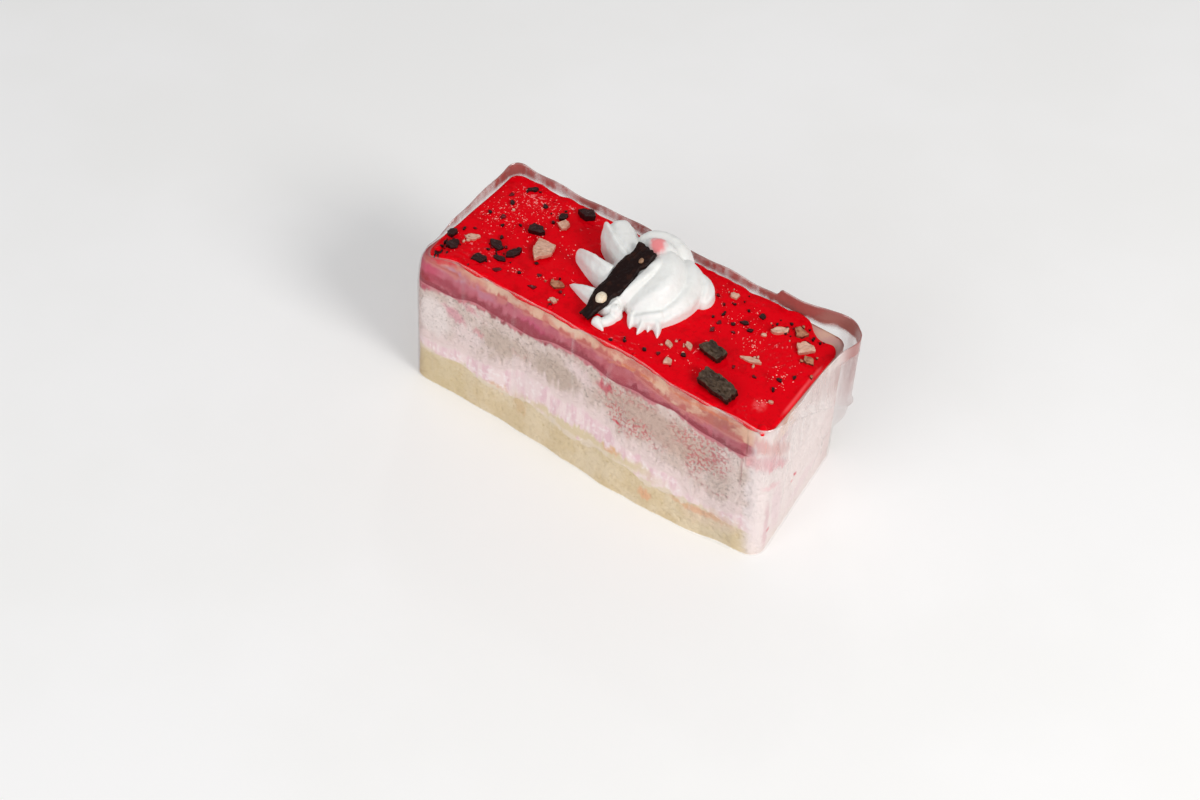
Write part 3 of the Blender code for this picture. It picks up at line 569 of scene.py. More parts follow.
# A closed slab: its side is a wall of rows between two seams, with pits pushed inwards along the
# outline's normal, and its top and bottom are rings that shrink to the middle.
def makeLayer(name):
    look = layerLooks[name]
    walked = np.linspace(0, outlineLength, wallColumns, endpoint=False)
    x, y, nx, ny = outline(walked)
    shrink = np.array([0.02, 0.4, 0.75, 0.93, 0.97])
    capX, capY = shrink[:, None] * x, shrink[:, None] * y
    rows = np.linspace(0.012, 0.988, look["rows"])
    sideShare = np.concatenate([[0, 0.003], rows, [0.997, 1]])[:, None]
    low, high = layerHeights(look, x, y)
    z = low + (high - low) * sideShare
    fade = smoothStep(0, 0.06, sideShare) * smoothStep(1, 0.94, sideShare)
    noiseX, noiseY = walked / look["pitSize"], z / look["pitSize"]
    pits = smoothStep(0.15, 0.75, layeredNoise(noiseX, noiseY, 3.1, 2)) * look["pitDepth"]
    waves = wallWave * layeredNoise(walked / 6.0, z / 9.0, 1.7, 2)
    relief = waves - pits * (0.4 + 0.6 * fade)
    dx, dy = strayAll(x, y, z)
    side = np.stack([x + dx + nx * relief, y + dy + ny * relief, z], axis=-1)
    caps = []
    for capZ in layerHeights(look, capX, capY):
        dx, dy = strayAll(capX, capY, capZ)
        caps.append(np.stack([capX + dx, capY + dy, capZ], axis=-1))
    rings = np.concatenate([caps[0], side, caps[1][::-1]])
    points, quads, triangles = closedRings(rings)
    marks = {title: np.zeros(len(points)) for title in ("nearLow", "nearTop", "syrup")}
    first = len(shrink) * wallColumns
    inside = slice(first, first + side.shape[0] * wallColumns)
    wobble = 0.9 * layeredNoise(walked / 3.1, z / 2.4, 8.8, 3)
    streak = 0.35 * layeredNoise(walked / 0.9, z / 12.0, 4.4, 2)
    reachLow, reachTop = look.get("bleedLow", 2.6), look.get("bleedTop", 2.6)
    onEnd = smoothStep(49, 52, x) * smoothStep(6, -6, y) + smoothStep(53, 55, x) * smoothStep(-8, 6, y)
    offEnd = 1 - 0.9 * onEnd
    bleedLow = np.clip(1 - (z - low + wobble) / reachLow + streak, 0, 1)
    bleedTop = np.clip(1 - (high - z + wobble) / reachTop + 0.6 * streak, 0, 1)
    marks["nearLow"][inside] = (bleedLow * offEnd).ravel()
    marks["nearTop"][inside] = (bleedTop * offEnd).ravel()
    onFront = smoothStep(-10, -16, y) * smoothStep(2, 9, x) * smoothStep(49, 44, x)
    patchy = smoothStep(-0.9, 0.5, layeredNoise(x / 6.0, z / 5.0, 2.2, 2))
    spread = smoothStep(0.05, 0.4, sideShare + 0.1 * wobble) * smoothStep(1.05, 0.85, sideShare)
    faint = 0.35 * smoothStep(0.2, 0.9, layeredNoise(walked / 5.0, z / 4.0, 5.5, 2))
    marks["syrup"][inside] = np.clip((faint + patchy * onFront) * spread * offEnd, 0, 1).ravel()
    tint, share = stainAndShadeWall(walked + 0 * z, x + 0 * z, y + 0 * z, z)
    marks["stain"] = np.tile((*linear(*look.get("cap", (220, 200, 190)))[:3], 0.8), (len(points), 1))
    marks["stain"][inside] = np.concatenate([tint, share[..., None]], axis=-1).reshape(-1, 4)
    finish = spongeFinish(name + "Finish", look)
    putPiece(name, (points, quads, triangles), finish, look["slot"], look["node"], marks)


for layerName in layerLooks:
    makeLayer(layerName)
print("layers made")


# Red gel

gelLook = {
    "inset": 0.25, "notch": 4.4, "notchAt": 49.0, "notchReach": 7.0, "swell": 0.28,
    "rimDrop": 0.75, "rimReach": 1.1, "bumps": 0.15,
    "edgeWave": 0.5, "cells": (280, 116), "roughness": 0.07, "ior": 1.34, "shine": 0.1,
    "colour": linear(228, 0, 18), "deep": linear(188, 0, 10), "pale": linear(240, 84, 88),
}
# Glints in the gel: small pale beads whose bright colour is painted highlight, standing in for sparkles.
# How many more than listed, how far out, radii (a power makes large ones rare), stretch and colours
glintRule = {
    "seed": 5, "more": 1.4, "reachX": 54, "reachY": 20, "clearOfRosette": 21,
    "smallest": 0.05, "growth": 0.14, "rarity": 2.8, "stretch": (0.8, 2.1),
    "colour": linear(252, 170, 160), "patch": linear(246, 120, 116),
}
# Clusters of glints: middle, reach along X and Y, number
glints = [
    (-47, 5, 8, 7, 170), (-38, 14, 7, 5, 80), (-44, 16, 7, 4, 60), (-30.6, -12, 2.4, 1.2, 16),
    (-23.6, -10, 2.4, 1.2, 14), (-35, 3, 4, 3, 24), (30, 8, 7, 6, 60), (36, 2, 4, 3, 26),
    (47.5, -4, 3, 4, 40), (21, 14, 7, 5, 26), (25, -14, 12, 3, 20), (48.4, -14, 1.8, 2, 10),
    (-24, 6, 3, 6, 16), (-50, -12, 3, 4, 20),
]


# Grid places a and b, both from -1 to 1, on the block's plan: the square's corners are bent onto
# arcs.
def planPoint(a, b, inset):
    halfX, halfY, r = block["length"] / 2 - inset, block["width"] / 2 - inset, block["corner"]
    x, y = halfX * a, halfY * b
    inX, inY = np.abs(x) - (halfX - r), np.abs(y) - (halfY - r)
    atCorner = (inX > 0) & (inY > 0)
    pull = np.where(atCorner, np.maximum(inX, inY) / np.maximum(np.hypot(inX, inY), 1e-9), 1.0)
    x = np.where(atCorner, np.sign(x) * (halfX - r + inX * pull), x)
    y = np.where(atCorner, np.sign(y) * (halfY - r + inY * pull), y)
    return x, y


# How far the gel stays short of the back right corner
def gelNotch(x, y):
    back = smoothStep(2, block["width"] / 2, y)
    right = smoothStep(gelLook["notchAt"] - gelLook["notchReach"], gelLook["notchAt"], x)
    return gelLook["notch"] * back * right


rosette = {"x": -1.0, "y": 4.0, "turn": math.radians(30.6), "voxel": 0.25, "smooth": 2}


# Distance in plan from the rosette's middle
def fromRosette(x, y):
    return np.hypot(x - rosette["x"], y - rosette["y"])


# Slow lumps, flat where the rosette stands.
def gelSwell(x, y):
    lumps = np.sin(x / 5.1 + 0.7) * np.sin(y / 4.3 + x / 13)
    return gelLook["swell"] * lumps * smoothStep(20, 26, fromRosette(x, y)) - cornerDroop(x, y)


# Red with deeper patches, and pale where its mark says: a real smear near the front right, and a
# painted highlight along the right end's edge
def gelFinish():
    values = {"Roughness": gelLook["roughness"], "IOR": gelLook["ior"],
              "Specular IOR Level": gelLook["shine"]}
    material, tree, shader = newFinish("redGel", values, (500.0, 0.1, 0.10, 0.0003))
    colour = blotch(tree, gelLook["colour"], gelLook["deep"], 260.0, 0.50, 0.72, 0.6)
    colour = blotch(tree, colour, gelLook["deep"], 850.0, 0.56, 0.70, 0.5)
    colour = mixByMark(tree, colour, gelLook["pale"], "pale", 0.2, 1.2)
    feed(tree, shader, {"Base Color": colour})
    return material


# Two like grids over the plan; the upper one swells slowly, is rounded at its rim and carries
# fine bumps in patches.
def makeGel():
    bunched = math.pi / 2 * 0.94
    a, b = (np.sin(np.linspace(-1, 1, cells) * bunched) / math.sin(bunched) for cells in gelLook["cells"])
    a, b = np.meshgrid(a, b, indexing="ij")
    x, y = planPoint(a, b, gelLook["inset"])
    edge = np.minimum((1 - np.abs(a)) * block["length"] / 2, (1 - np.abs(b)) * block["width"] / 2)
    rim = np.clip(1 - edge / gelLook["rimReach"], 0, 1)
    drop = gelLook["rimDrop"] * (1 - np.sqrt(np.maximum(0.0, 1 - rim ** 2)))
    patches = smoothStep(-0.25, 0.45, layeredNoise(x / 9.0, y / 7.0, 4.4, 2))
    fine = layeredNoise(x / 0.9, y / 0.9, 6.1, 2)
    bumps = gelLook["bumps"] * patches * fine * (1 - rim)
    z = topPlane(x) - drop + gelSwell(x, y) + bumps
    dx, dy = strayAll(x, y, topPlane(x), 0.9)
    y2 = y + dy - gelNotch(x, y)
    y2 = y2 + gelLook["edgeWave"] * layeredNoise(x / 3.6, 0.0, 3.9, 2) * smoothStep(14, 21.5, np.abs(y))
    top = np.stack([x + dx, y2, z], axis=-1)
    bottom = np.stack([x + dx, y2, topPlane(x) - gelThickness - cornerDroop(x, y)], axis=-1)
    # Pale streak along the right end's edge: painted highlight, not a smear
    edgeHighlight = 0.9 * hump(x, 54.7, 0.6) * smoothStep(-17, -10, y) * smoothStep(14, 6, y)
    spot = hump(x, 48.4, 2.0) * hump(y, -14, 2.6)
    smearAndHighlight = edgeHighlight + spot * (1 + 0.6 * layeredNoise(x / 0.7, y / 0.9, 1.0, 2))
    marks = {"pale": np.concatenate([smearAndHighlight.ravel(), np.zeros(smearAndHighlight.size)])}
    putPiece("redGel", closedSheet(top, bottom), gelFinish(), "red_gel", "strawberry_gel", marks)


# Drops of gel that hang over the corners: x, y, radius, drop below the top
gelDrops = [(53.2, -20.6, 1.25, 0.2), (53.6, -21.3, 0.75, 1.0), (-54.0, -19.6, 0.9, 0.8),
            (-15.5, -20.4, 0.7, 0.1), (12.5, -20.8, 0.6, 0.2), (-3.2, -15.8, 1.2, -0.3)]


# Balls, each made lumpy by noise
def makeGelDrops():
    ball = ballRings(16, 28)
    parts = []
    for x, y, radius, drop in gelDrops:
        lump = 1 + 0.12 * layeredNoise(ball[..., 0] + x, ball[..., 1] + y, ball[..., 2], 2)
        dx, dy = wallStray(x, y, topPlane(x))
        centre = np.array([x + dx, y + dy, topPlane(x) - drop])
        parts.append(closedRings(ball * lump[..., None] * radius + centre))
    drops = joinParts(parts)
    marks = {"pale": np.zeros(len(drops[0]))}
    putPiece("gelDrops", drops, gelFinish(), "red_gel", "strawberry_gel", marks)


# One low oval bead, repeated at every glint: radius, stretch and turn are drawn from the seed
def makeGlints():
    rule = glintRule
    rand = np.random.RandomState(rule["seed"])
    spots = [np.array([x, y]) + rand.normal(0, 0.55, (int(rule["more"] * count), 2)) * (reachX, reachY)
             for x, y, reachX, reachY, count in glints]
    spots = np.concatenate(spots)
    onTop = (np.abs(spots) < (rule["reachX"], rule["reachY"])).all(axis=1)
    spots = spots[onTop & (fromRosette(*spots.T) > rule["clearOfRosette"])]
    count = len(spots)
    shape, quads, triangles = closedRings(ballRings(5, 8))
    radius = rule["smallest"] + rule["growth"] * rand.uniform(0, 1, count) ** rule["rarity"]
    long, turn = rand.uniform(*rule["stretch"], count), rand.uniform(0, math.pi, count)
    radius, long, turn = radius[:, None], long[:, None], turn[:, None]
    px, py = radius * shape[None, :, 0] * long, radius * shape[None, :, 1]
    wx, wy = turned(px, py, turn, spots[:, :1], spots[:, 1:])
    level = topPlane(spots[:, 0]) + gelSwell(*spots.T) + 0.04
    wz = level[:, None] + radius * 0.8 * shape[None, :, 2]
    points = np.stack([wx, wy, wz], -1).reshape(-1, 3)
    offset = (np.arange(count) * len(shape))[:, None, None]
    beads = points, (quads[None] + offset).reshape(-1, 4), (triangles[None] + offset).reshape(-1, 3)
    # Pale bead colour: painted highlight
    finish = beadFinish("glint", rule["colour"], rule["patch"])
    putPiece("gelGlints", beads, finish, "red_gel", "strawberry_gel")


makeGel()
makeGelDrops()
makeGlints()
print("gel made")


# Flakes

# Small flakes that can be told apart: x, y, length, width, height, turn in degrees, kind
namedFlakes = [
    (-41.3, -6.4, 3.8, 3.2, 0.9, 20, "dark"),
    (-35.4, -6.8, 2.6, 4.6, 1.0, -25, "dark"),
    (-37.6, -10.6, 4.2, 1.8, 0.7, 12, "dark"),
    (-41.7, -14.3, 3.7, 3.0, 0.9, -15, "dark"),
    (-51.3, -13.6, 3.1, 3.6, 1.0, 40, "dark"),
    (-53.6, -17.2, 2.8, 2.0, 1.0, -30, "dark"),
    (-54.2, -9.8, 2.0, 2.6, 0.9, 10, "dark"),
    (-48.8, -8.2, 4.4, 2.2, 0.7, 20, "pale"),
    (-33.0, 14.2, 3.0, 2.6, 0.8, 60, "dark"),
    (-46.8, 18.6, 3.4, 1.7, 0.7, 30, "dark"),
    (22.3, 15.6, 2.4, 2.0, 0.7, 10, "pale"),
    (39.2, 11.4, 5.6, 2.4, 0.9, 35, "pale"),
    (44.4, 14.0, 4.0, 3.2, 0.9, 0, "brown"),
    (17.9, -11.0, 3.4, 1.5, 0.6, -35, "pale"),
    (22.4, -8.2, 3.2, 1.5, 0.6, -50, "pale"),
    (21.0, -16.4, 2.6, 2.4, 0.7, 15, "pale"),
    (38.6, -2.8, 4.6, 1.8, 0.7, 15, "pale"),
    (51.2, 6.0, 2.6, 3.4, 0.8, 70, "brown"),
    (-18.6, -9.8, 3.2, 2.6, 0.8, 35, "brown"),
    (-16.4, -15.4, 2.8, 1.6, 0.7, -20, "pale"),
]
# Large flakes: CAD node, x, y, length, width, height, turn, tilt in degrees, kind, sides
largeFlakes = [
    ("chocolate_shard_front", 36.6, -17.2, 10.8, 5.0, 2.6, -14, 10, "shard", 4),
    ("chocolate_shard_right", 29.2, -6.8, 6.8, 3.8, 2.2, -18, 12, "shard", 4),
    ("chocolate_shard_back", -27.4, 18.2, 5.2, 4.0, 2.0, 25, -8, "dark", 6),
    ("chocolate_shard_left", -35.6, 4.4, 6.0, 3.0, 1.8, 30, 8, "dark", 6),
    ("almond_flake_left", -29.8, -1.2, 6.2, 8.0, 1.3, 26, -6, "pale", 5),
    ("almond_flake_back", -30.6, 11.2, 3.4, 3.6, 1.2, 20, 5, "pale", 5),
    ("almond_flake_right", 48.2, 9.4, 5.4, 4.4, 1.3, 15, 6, "pale", 5),
]
flakeKinds = {
    "dark": {"slot": "chocolate", "colour": linear(30, 5, 7), "patch": linear(40, 10, 10),
             "face": linear(60, 26, 22), "faceShare": 0.4, "roughness": 0.4},
    "shard": {"slot": "chocolate", "colour": linear(28, 14, 12), "patch": linear(54, 38, 28),
              "face": linear(88, 70, 54), "faceShare": 0.75, "roughness": 0.4,
              "stretch": (0.3, 1, 1), "grain": 900.0},
    "pale": {"slot": "almond", "colour": linear(192, 122, 106), "patch": linear(200, 146, 122),
             "face": linear(222, 180, 158), "faceShare": 0.75, "roughness": 0.35},
    "brown": {"slot": "almond", "colour": linear(92, 30, 24), "patch": linear(150, 80, 56),
              "face": linear(206, 150, 116), "faceShare": 0.6, "roughness": 0.4},
    "sunk": {"slot": "chocolate", "colour": linear(74, 4, 10), "patch": linear(120, 6, 16),
             "face": linear(54, 8, 12), "faceShare": 0.6, "roughness": 0.2},
}
scatterRule = {"seed": 41, "count": 34, "reachX": 52.0, "lowY": -17.5, "highY": 15.0, "clearOfRosette": 24.5}


# Edges take the kind's own colour, the broken top face a lighter one in patches
def flakeFinish(kind):
    look = flakeKinds[kind]
    values = {"Roughness": look["roughness"], "Specular IOR Level": 0.25}
    material, tree, shader = newFinish(kind + "Flake", values, (look.get("grain", 1500.0), 0.3, 0.5, 0.0004))
    colour = blotch(tree, look["colour"], look["patch"], 900.0, 0.45, 0.62, 0.8)
    face = blotch(tree, look["patch"], look["face"], 700.0, 0.36, 0.56, look["faceShare"],
                  look.get("stretch", (1, 1, 1)))
    feed(tree, shader, {"Base Color": mixByMark(tree, colour, face, "topFace", 0.5, 0.95)})
    return material


flakeFinishes = {kind: flakeFinish(kind) for kind in flakeKinds}


# Seeded places for small specks, skipped near a flake, near the rosette and at the rim
def scatterPlaces():
    rand = random.Random(scatterRule["seed"])
    taken = [(x, y, max(length, width) / 2) for x, y, length, width, *_ in namedFlakes]
    taken += [(x, y, max(length, width) / 2) for _, x, y, length, width, *_ in largeFlakes]
    places = []
    while len(places) < scatterRule["count"]:
        x = rand.uniform(-scatterRule["reachX"], scatterRule["reachX"])
        y = rand.uniform(scatterRule["lowY"], scatterRule["highY"])
        size = rand.uniform(1.0, 2.1)
        turn = rand.uniform(0, math.pi)
        if fromRosette(x, y) < scatterRule["clearOfRosette"]:
            continue
        if any(math.hypot(x - tx, y - ty) < reach + size / 2 + 0.7 for tx, ty, reach in taken):
            continue
        taken.append((x, y, size / 2))
        places.append((x, y, size, turn))
    return places


# Crumbs round each named flake: reach and number; and the sizes and limits of all crumbs
crumbRule = {"seed": 9, "reach": 2.6, "each": 5, "smallest": 0.35, "largest": 1.0,
             "reachX": 54.6, "reachY": 19.6, "clearOfRosette": 20.5}
# Crumbs round places of their own: x, y, reach, number
crumbGroups = [(-53.6, -13.5, 2.0, 22), (-45, 19.4, 2.0, 8), (-37, -9, 4, 12), (-19.5, -9, 1.6, 8),
               (40, 13.5, 3.4, 16), (48, 14, 3, 8), (24, 12, 5, 10), (35, -18, 4, 10), (29, -8, 3, 6),
               (10, -19.5, 6, 6)]


# Seeded places for crumbs, thickest at the middle of their group, the small ones the most common
def crumbPlaces():
    rule = crumbRule
    rand = random.Random(rule["seed"])
    groups = [(x, y, rule["reach"], rule["each"], kind) for x, y, *_, kind in namedFlakes]
    groups += [(*group, "dark") for group in crumbGroups]
    places = []
    smallest, growth = rule["smallest"], rule["largest"] - rule["smallest"]
    for x, y, reach, count, kind in groups:
        for step in range(count):
            px, py = x + rand.gauss(0, 0.6) * reach, y + rand.gauss(0, 0.6) * reach
            size = smallest + growth * rand.random() ** 2
            turn = rand.uniform(0, math.pi)
            onTop = abs(px) < rule["reachX"] and abs(py) < rule["reachY"]
            if onTop and fromRosette(px, py) > rule["clearOfRosette"]:
                places.append((px, py, size, turn, "sunk" if step % 4 == 3 else kind))
    return places


# A broken slab in closed rings. Its outline keeps, at each angle, the nearest of a few straight
# sides: radius = least of distance / cos(angle - the side's turn); noise jags it and roughens
# the top, and ribs run along the slab
def flakeParts(place, size, turn, tilt, number, sides, cells, ribs=0.0, rise=0.0):
    rand = np.random.RandomState(int(number * 7) + 3)
    spread = 0.1 if sides == 4 and size[0] > 5 else 0.36
    sideTurn = (np.arange(sides) + rand.uniform(-spread, spread, sides)) * 2 * math.pi / sides
    sideReach = rand.uniform(0.94 - 0.8 * spread, 1.0, sides)
    angle = np.linspace(0, 2 * math.pi, cells[1], endpoint=False)
    facing = np.cos(angle[:, None] - sideTurn)
    radius = np.min(np.where(facing > 0.1, sideReach / np.maximum(facing, 0.1), 9.0), axis=1)
    jag = 0.12 * layeredNoise(1.7 * np.cos(angle), 1.7 * np.sin(angle), number, 4)
    radius = np.minimum(radius, 1.3) * (1 + jag)
    inner = np.linspace(0.12, 0.96, cells[0])
    share = np.concatenate([inner * 0.94, [0.96, 1.0, 1.0, 0.985], inner[::-1]])[:, None]
    level = np.concatenate([-np.ones(cells[0]), [-0.9, -0.5, 0.55, 0.93], np.ones(cells[0])])[:, None]
    px = share * radius * np.cos(angle) * size[0] / 2
    py = share * radius * np.sin(angle) * size[1] / 2
    onTop = smoothStep(0.5, 1.0, level)
    rough = 0.16 * size[2] * layeredNoise(px / 1.1, py / 0.7, number * 3.3, 3)
    ripple = np.sin(py * 4.4 + 2.5 * softNoise(px / 2.0, py, number))
    rough = rough + ribs * ripple * smoothStep(1.0, 0.7, share)
    pz = level * size[2] / 2 + rough * onTop + 0 * px
    px = px + 0.12 * size[2] * layeredNoise(py / 0.8, level * 1.5, number, 2) * (1 - onTop)
    ct, st = math.cos(tilt), math.sin(tilt)
    py, pz = py * ct - pz * st, py * st + pz * ct
    wx, wy = turned(px, py, turn, *place)
    topFace = np.append((onTop + 0 * px).ravel(), [0.0, 1.0])
    return (*closedRings(np.stack([wx, wy, topPlane(wx) + pz + rise], axis=-1)), topFace)


# Small flakes of each kind in one piece; every third speck lies deep in the gel
def makeSmallFlakes():
    groups = {kind: [] for kind in flakeKinds}
    for number, (x, y, length, width, height, turn, kind) in enumerate(namedFlakes):
        size = (length * 1.06, width * 1.06, height + 0.7)
        part = flakeParts((x, y), size, math.radians(turn), 0.06, number + 0.5,
                          4 + number % 3, (5, 44), 0.0, (height - 0.7) / 2 + gelSwell(x, y))
        groups[kind].append(part)
    for number, (x, y, size, turn) in enumerate(scatterPlaces()):
        kind = "sunk" if number % 3 == 0 else "pale" if number % 7 == 2 else "dark"
        rise = -0.28 if kind == "sunk" else 0.0
        part = flakeParts((x, y), (size * 1.1, size * 0.8, 1.1), turn, 0.03, number + 60.5,
                          4 + number % 3, (3, 26), 0.0, rise + gelSwell(x, y))
        groups[kind].append(part)
    for number, (x, y, size, turn, kind) in enumerate(crumbPlaces()):
        part = flakeParts((x, y), (size * 1.2, size * 0.9, 0.6 + 0.4 * size), turn, 0.1, number + 130.5,
                          4 + number % 3, (2, 14), 0.0, gelSwell(x, y) + 0.05)
        groups[kind].append(part)
    for kind, parts in groups.items():
        if not parts:
            continue
        marks = {"topFace": np.concatenate([part[3] for part in parts])}
        putPiece(kind + "Flakes", joinParts(parts), flakeFinishes[kind], flakeKinds[kind]["slot"],
                 "strawberry_gel", marks)


# The large flakes, each in place of its own solid
def makeLargeFlakes():
    for number, (node, x, y, length, width, height, turn, tilt, kind, sides) in enumerate(largeFlakes):
        ribs = {"shard": 0.16, "dark": 0.08}.get(kind, 0.03)
        *parts, topFace = flakeParts(
            (x, y), (length * 1.08, width * 1.08, height), math.radians(turn), math.radians(tilt),
            number * 5.1 + 30, sides, (22, 150), ribs, height / 2 + 0.15)
        words = node.split("_")
        name = words[0] + "".join(word.capitalize() for word in words[1:])
        putPiece(name, parts, flakeFinishes[kind], flakeKinds[kind]["slot"], node, {"topFace": topFace})


makeSmallFlakes()
makeLargeFlakes()
print("flakes made")


# Whipped cream rosette

# Lobes of piped cream in the rosette's frame, X to the right and Y away from the front: start, middle
# and end of the ridge, half widths and heights at its two ends, how sharp its crest is (0 round),
# how blunt its ends are, how far the crest leans over and how far its tip reaches forward
lobes = [
    ((-8, -5), (0, 0), (8, 4), (9.0, 9.0), (7.8, 11.2), 0.0, 2.2, 0.0, 0.0),
    ((2, -2), (-3.0, 6), (-6.1, 15.2), (4.2, 5.4), (9.2, 10.2), 0.0, 12.0, 0.1, 0.6),
    ((1, -1), (-5.6, 5), (-9.6, 14.6), (3.6, 2.2), (8.6, 10.6), 0.4, 8.0, 0.3, 0.5),
    ((1, -6), (-8, -3.4), (-17.8, 8.0), (6.8, 0.8), (8.0, 8.0), 0.7, 3.0, 0.1, 0.4),
    ((-4, -11), (-11, -9.2), (-18.6, -3.0), (5.6, 0.5), (6.0, 3.0), 0.7, 2.4, 0.1, 0.8),
    ((-2, 8), (7, 13.0), (12.6, 3.0), (5.6, 5.8), (10.4, 9.6), 0.1, 2.8, 0.1, 0.0),
    ((-1, 5), (5, 7), (10, 1), (6.4, 6.4), (11.4, 11.4), 0.0, 2.6, 0.0, 0.0),
    ((2, 6), (13.4, -3.6), (-2.8, -12.2), (8.0, 6.2), (11.9, 7.4), 0.0, 2.8, 0.1, 0.0),
    ((4.6, 2.8), (3.6, -4), (-6.4, -9.8), (4.6, 2.6), (11.8, 6.8), 0.0, 3.4, 0.3, 0.4),
    ((9, 5.6), (18.4, -3.8), (1.6, -15.6), (6.0, 4.6), (8.4, 3.8), 0.0, 2.8, 0.2, 0.0),
    ((12.2, 1.6), (19.4, -1.6), (15.8, -7.4), (4.6, 3.4), (6.0, 3.8), 0.0, 2.8, 0.1, 0.0),
    ((8, -12), (4, -15.4), (-2.8, -14.4), (3.6, 2.2), (4.6, 3.0), 0.2, 2.4, 0.1, 0.0),
    ((1.4, -12), (1.8, -16), (0.0, -19.4), (2.2, 0.5), (4.0, 1.2), 0.5, 2.4, 0.0, 0.4),
    ((4.0, -13), (5.8, -16), (5.4, -20.2), (2.2, 0.5), (3.8, 1.1), 0.5, 2.4, 0.0, 0.4),
    ((2.6, -13), (3.4, -16), (2.8, -18.2), (1.4, 0.4), (3.2, 1.1), 0.5, 2.4, 0.0, 0.4),
    ((-1.0, -12), (-1.8, -15), (-2.0, -17.4), (2.0, 0.5), (3.8, 1.1), 0.5, 2.4, 0.0, 0.3),
    ((-5.6, -11.4), (-6.2, -13.0), (-6.8, -14.8), (2.2, 1.9), (4.2, 2.9), 0.0, 2.6, 0.0, 0.0),
    ((-11.4, -15.2), (-10.6, -16.6), (-9.0, -19.2), (2.1, 0.5), (2.8, 1.0), 0.2, 2.4, 0.0, 0.0),
    ((-5.8, -13.2), (-7.6, -15.4), (-10.4, -17.0), (1.7, 1.6), (2.2, 2.0), 0.0, 2.2, 0.0, 0.0),
]
creamLook = {"rings": 46, "around": 64, "ribs": 0.13, "ribCount": 9, "relief": 0.13,
             "colour": linear(234, 234, 231), "shade": linear(226, 225, 221), "blush": linear(240, 140, 142),
             "blushX": 4.4, "blushY": 4.6, "roughness": 0.45, "soft": 0.12}
stick = {
    "foot": np.array([-14.3, -15.2, 1.4]), "head": np.array([2.0, 2.6, 11.2]),
    "width": 6.8, "thickness": 1.9, "footShare": 0.5,
    "colour": linear(26, 8, 6), "patch": linear(50, 24, 16), "roughness": 0.4, "shine": 0.15,
}


# Turned about Z, leaning with the top's fall and standing on the gel
def rosetteToBlock(points):
    x, y = turned(points[:, 0], points[:, 1], rosette["turn"], rosette["x"], rosette["y"])
    return np.stack([x, y, topPlane(x) + points[:, 2]], axis=-1)


# A ridge along a curve in plan: centre(t) is the curve through three points, width and height run
# from start to end under the envelope (1 - |2t-1|^blunt)^(1/blunt), and the round section is
# pinched to a crest by cos * |cos|^crest; fine ribs follow the ridge
def lobeParts(start, middle, end, widths, heights, crest, blunt, lean, reach):
    theta = np.linspace(0, math.pi, creamLook["rings"] + 2)[1:-1, None]
    phi = np.linspace(0, 2 * math.pi, creamLook["around"], endpoint=False)[None, :]
    along = -np.cos(theta) + 0 * phi
    envelope = (1 - np.abs(along) ** blunt) ** (1 / blunt)
    t = (along + 1) / 2
    start, middle, end = (np.array(p, float) for p in (start, middle, end))
    u = t[..., None]
    centre = (1 - u) ** 2 * start + 2 * u * (1 - u) * middle + u * u * end
    ahead = 2 * (1 - u) * (middle - start) + 2 * u * (end - middle)
    ahead = ahead / np.linalg.norm(ahead, axis=-1, keepdims=True)
    side = np.stack([-ahead[..., 1], ahead[..., 0]], axis=-1)
    c, s = np.cos(phi), np.sin(phi)
    up = np.maximum(0.0, s)
    across = c * np.abs(c) ** (crest * up) + lean * up
    width = (widths[0] + (widths[1] - widths[0]) * t) * envelope
    height = (heights[0] + (heights[1] - heights[0]) * t ** 1.3) * envelope
    rib = creamLook["ribs"] * np.cos(creamLook["ribCount"] * phi + 1.0)
    rib = rib * envelope * smoothStep(1.5, 4.0, height)
    plan = centre + side * (across * width + rib * c)[..., None] + ahead * (reach * up * t * t)[..., None]
    z = up * height + np.minimum(0.0, s) * 0.8 + rib * up
    return closedRings(np.concatenate([plan, z[..., None]], axis=-1))


# White with faint shade, blushed by the gel where its mark says
def creamFinish():
    values = {"Roughness": creamLook["roughness"], "Subsurface Weight": creamLook["soft"],
              "Subsurface Radius": (0.0016, 0.0014, 0.0012), "Subsurface Scale": 0.5}
    material, tree, shader = newFinish("whippedCream", values, (420.0, 0.1, 0.25, 0.0003))
    colour = blotch(tree, creamLook["colour"], creamLook["shade"], 160.0, 0.45, 0.7, 0.7)
    feed(tree, shader, {"Base Color": mixByMark(tree, colour, creamLook["blush"], "blush", 0.12, 0.8)})
    return material


# A property of a mesh's vertices as rows of three numbers
def vertexRows(mesh, title):
    values = np.empty(len(mesh.vertices) * 3, np.float32)
    mesh.vertices.foreach_get(title, values)
    return values.reshape(-1, 3).astype(float)


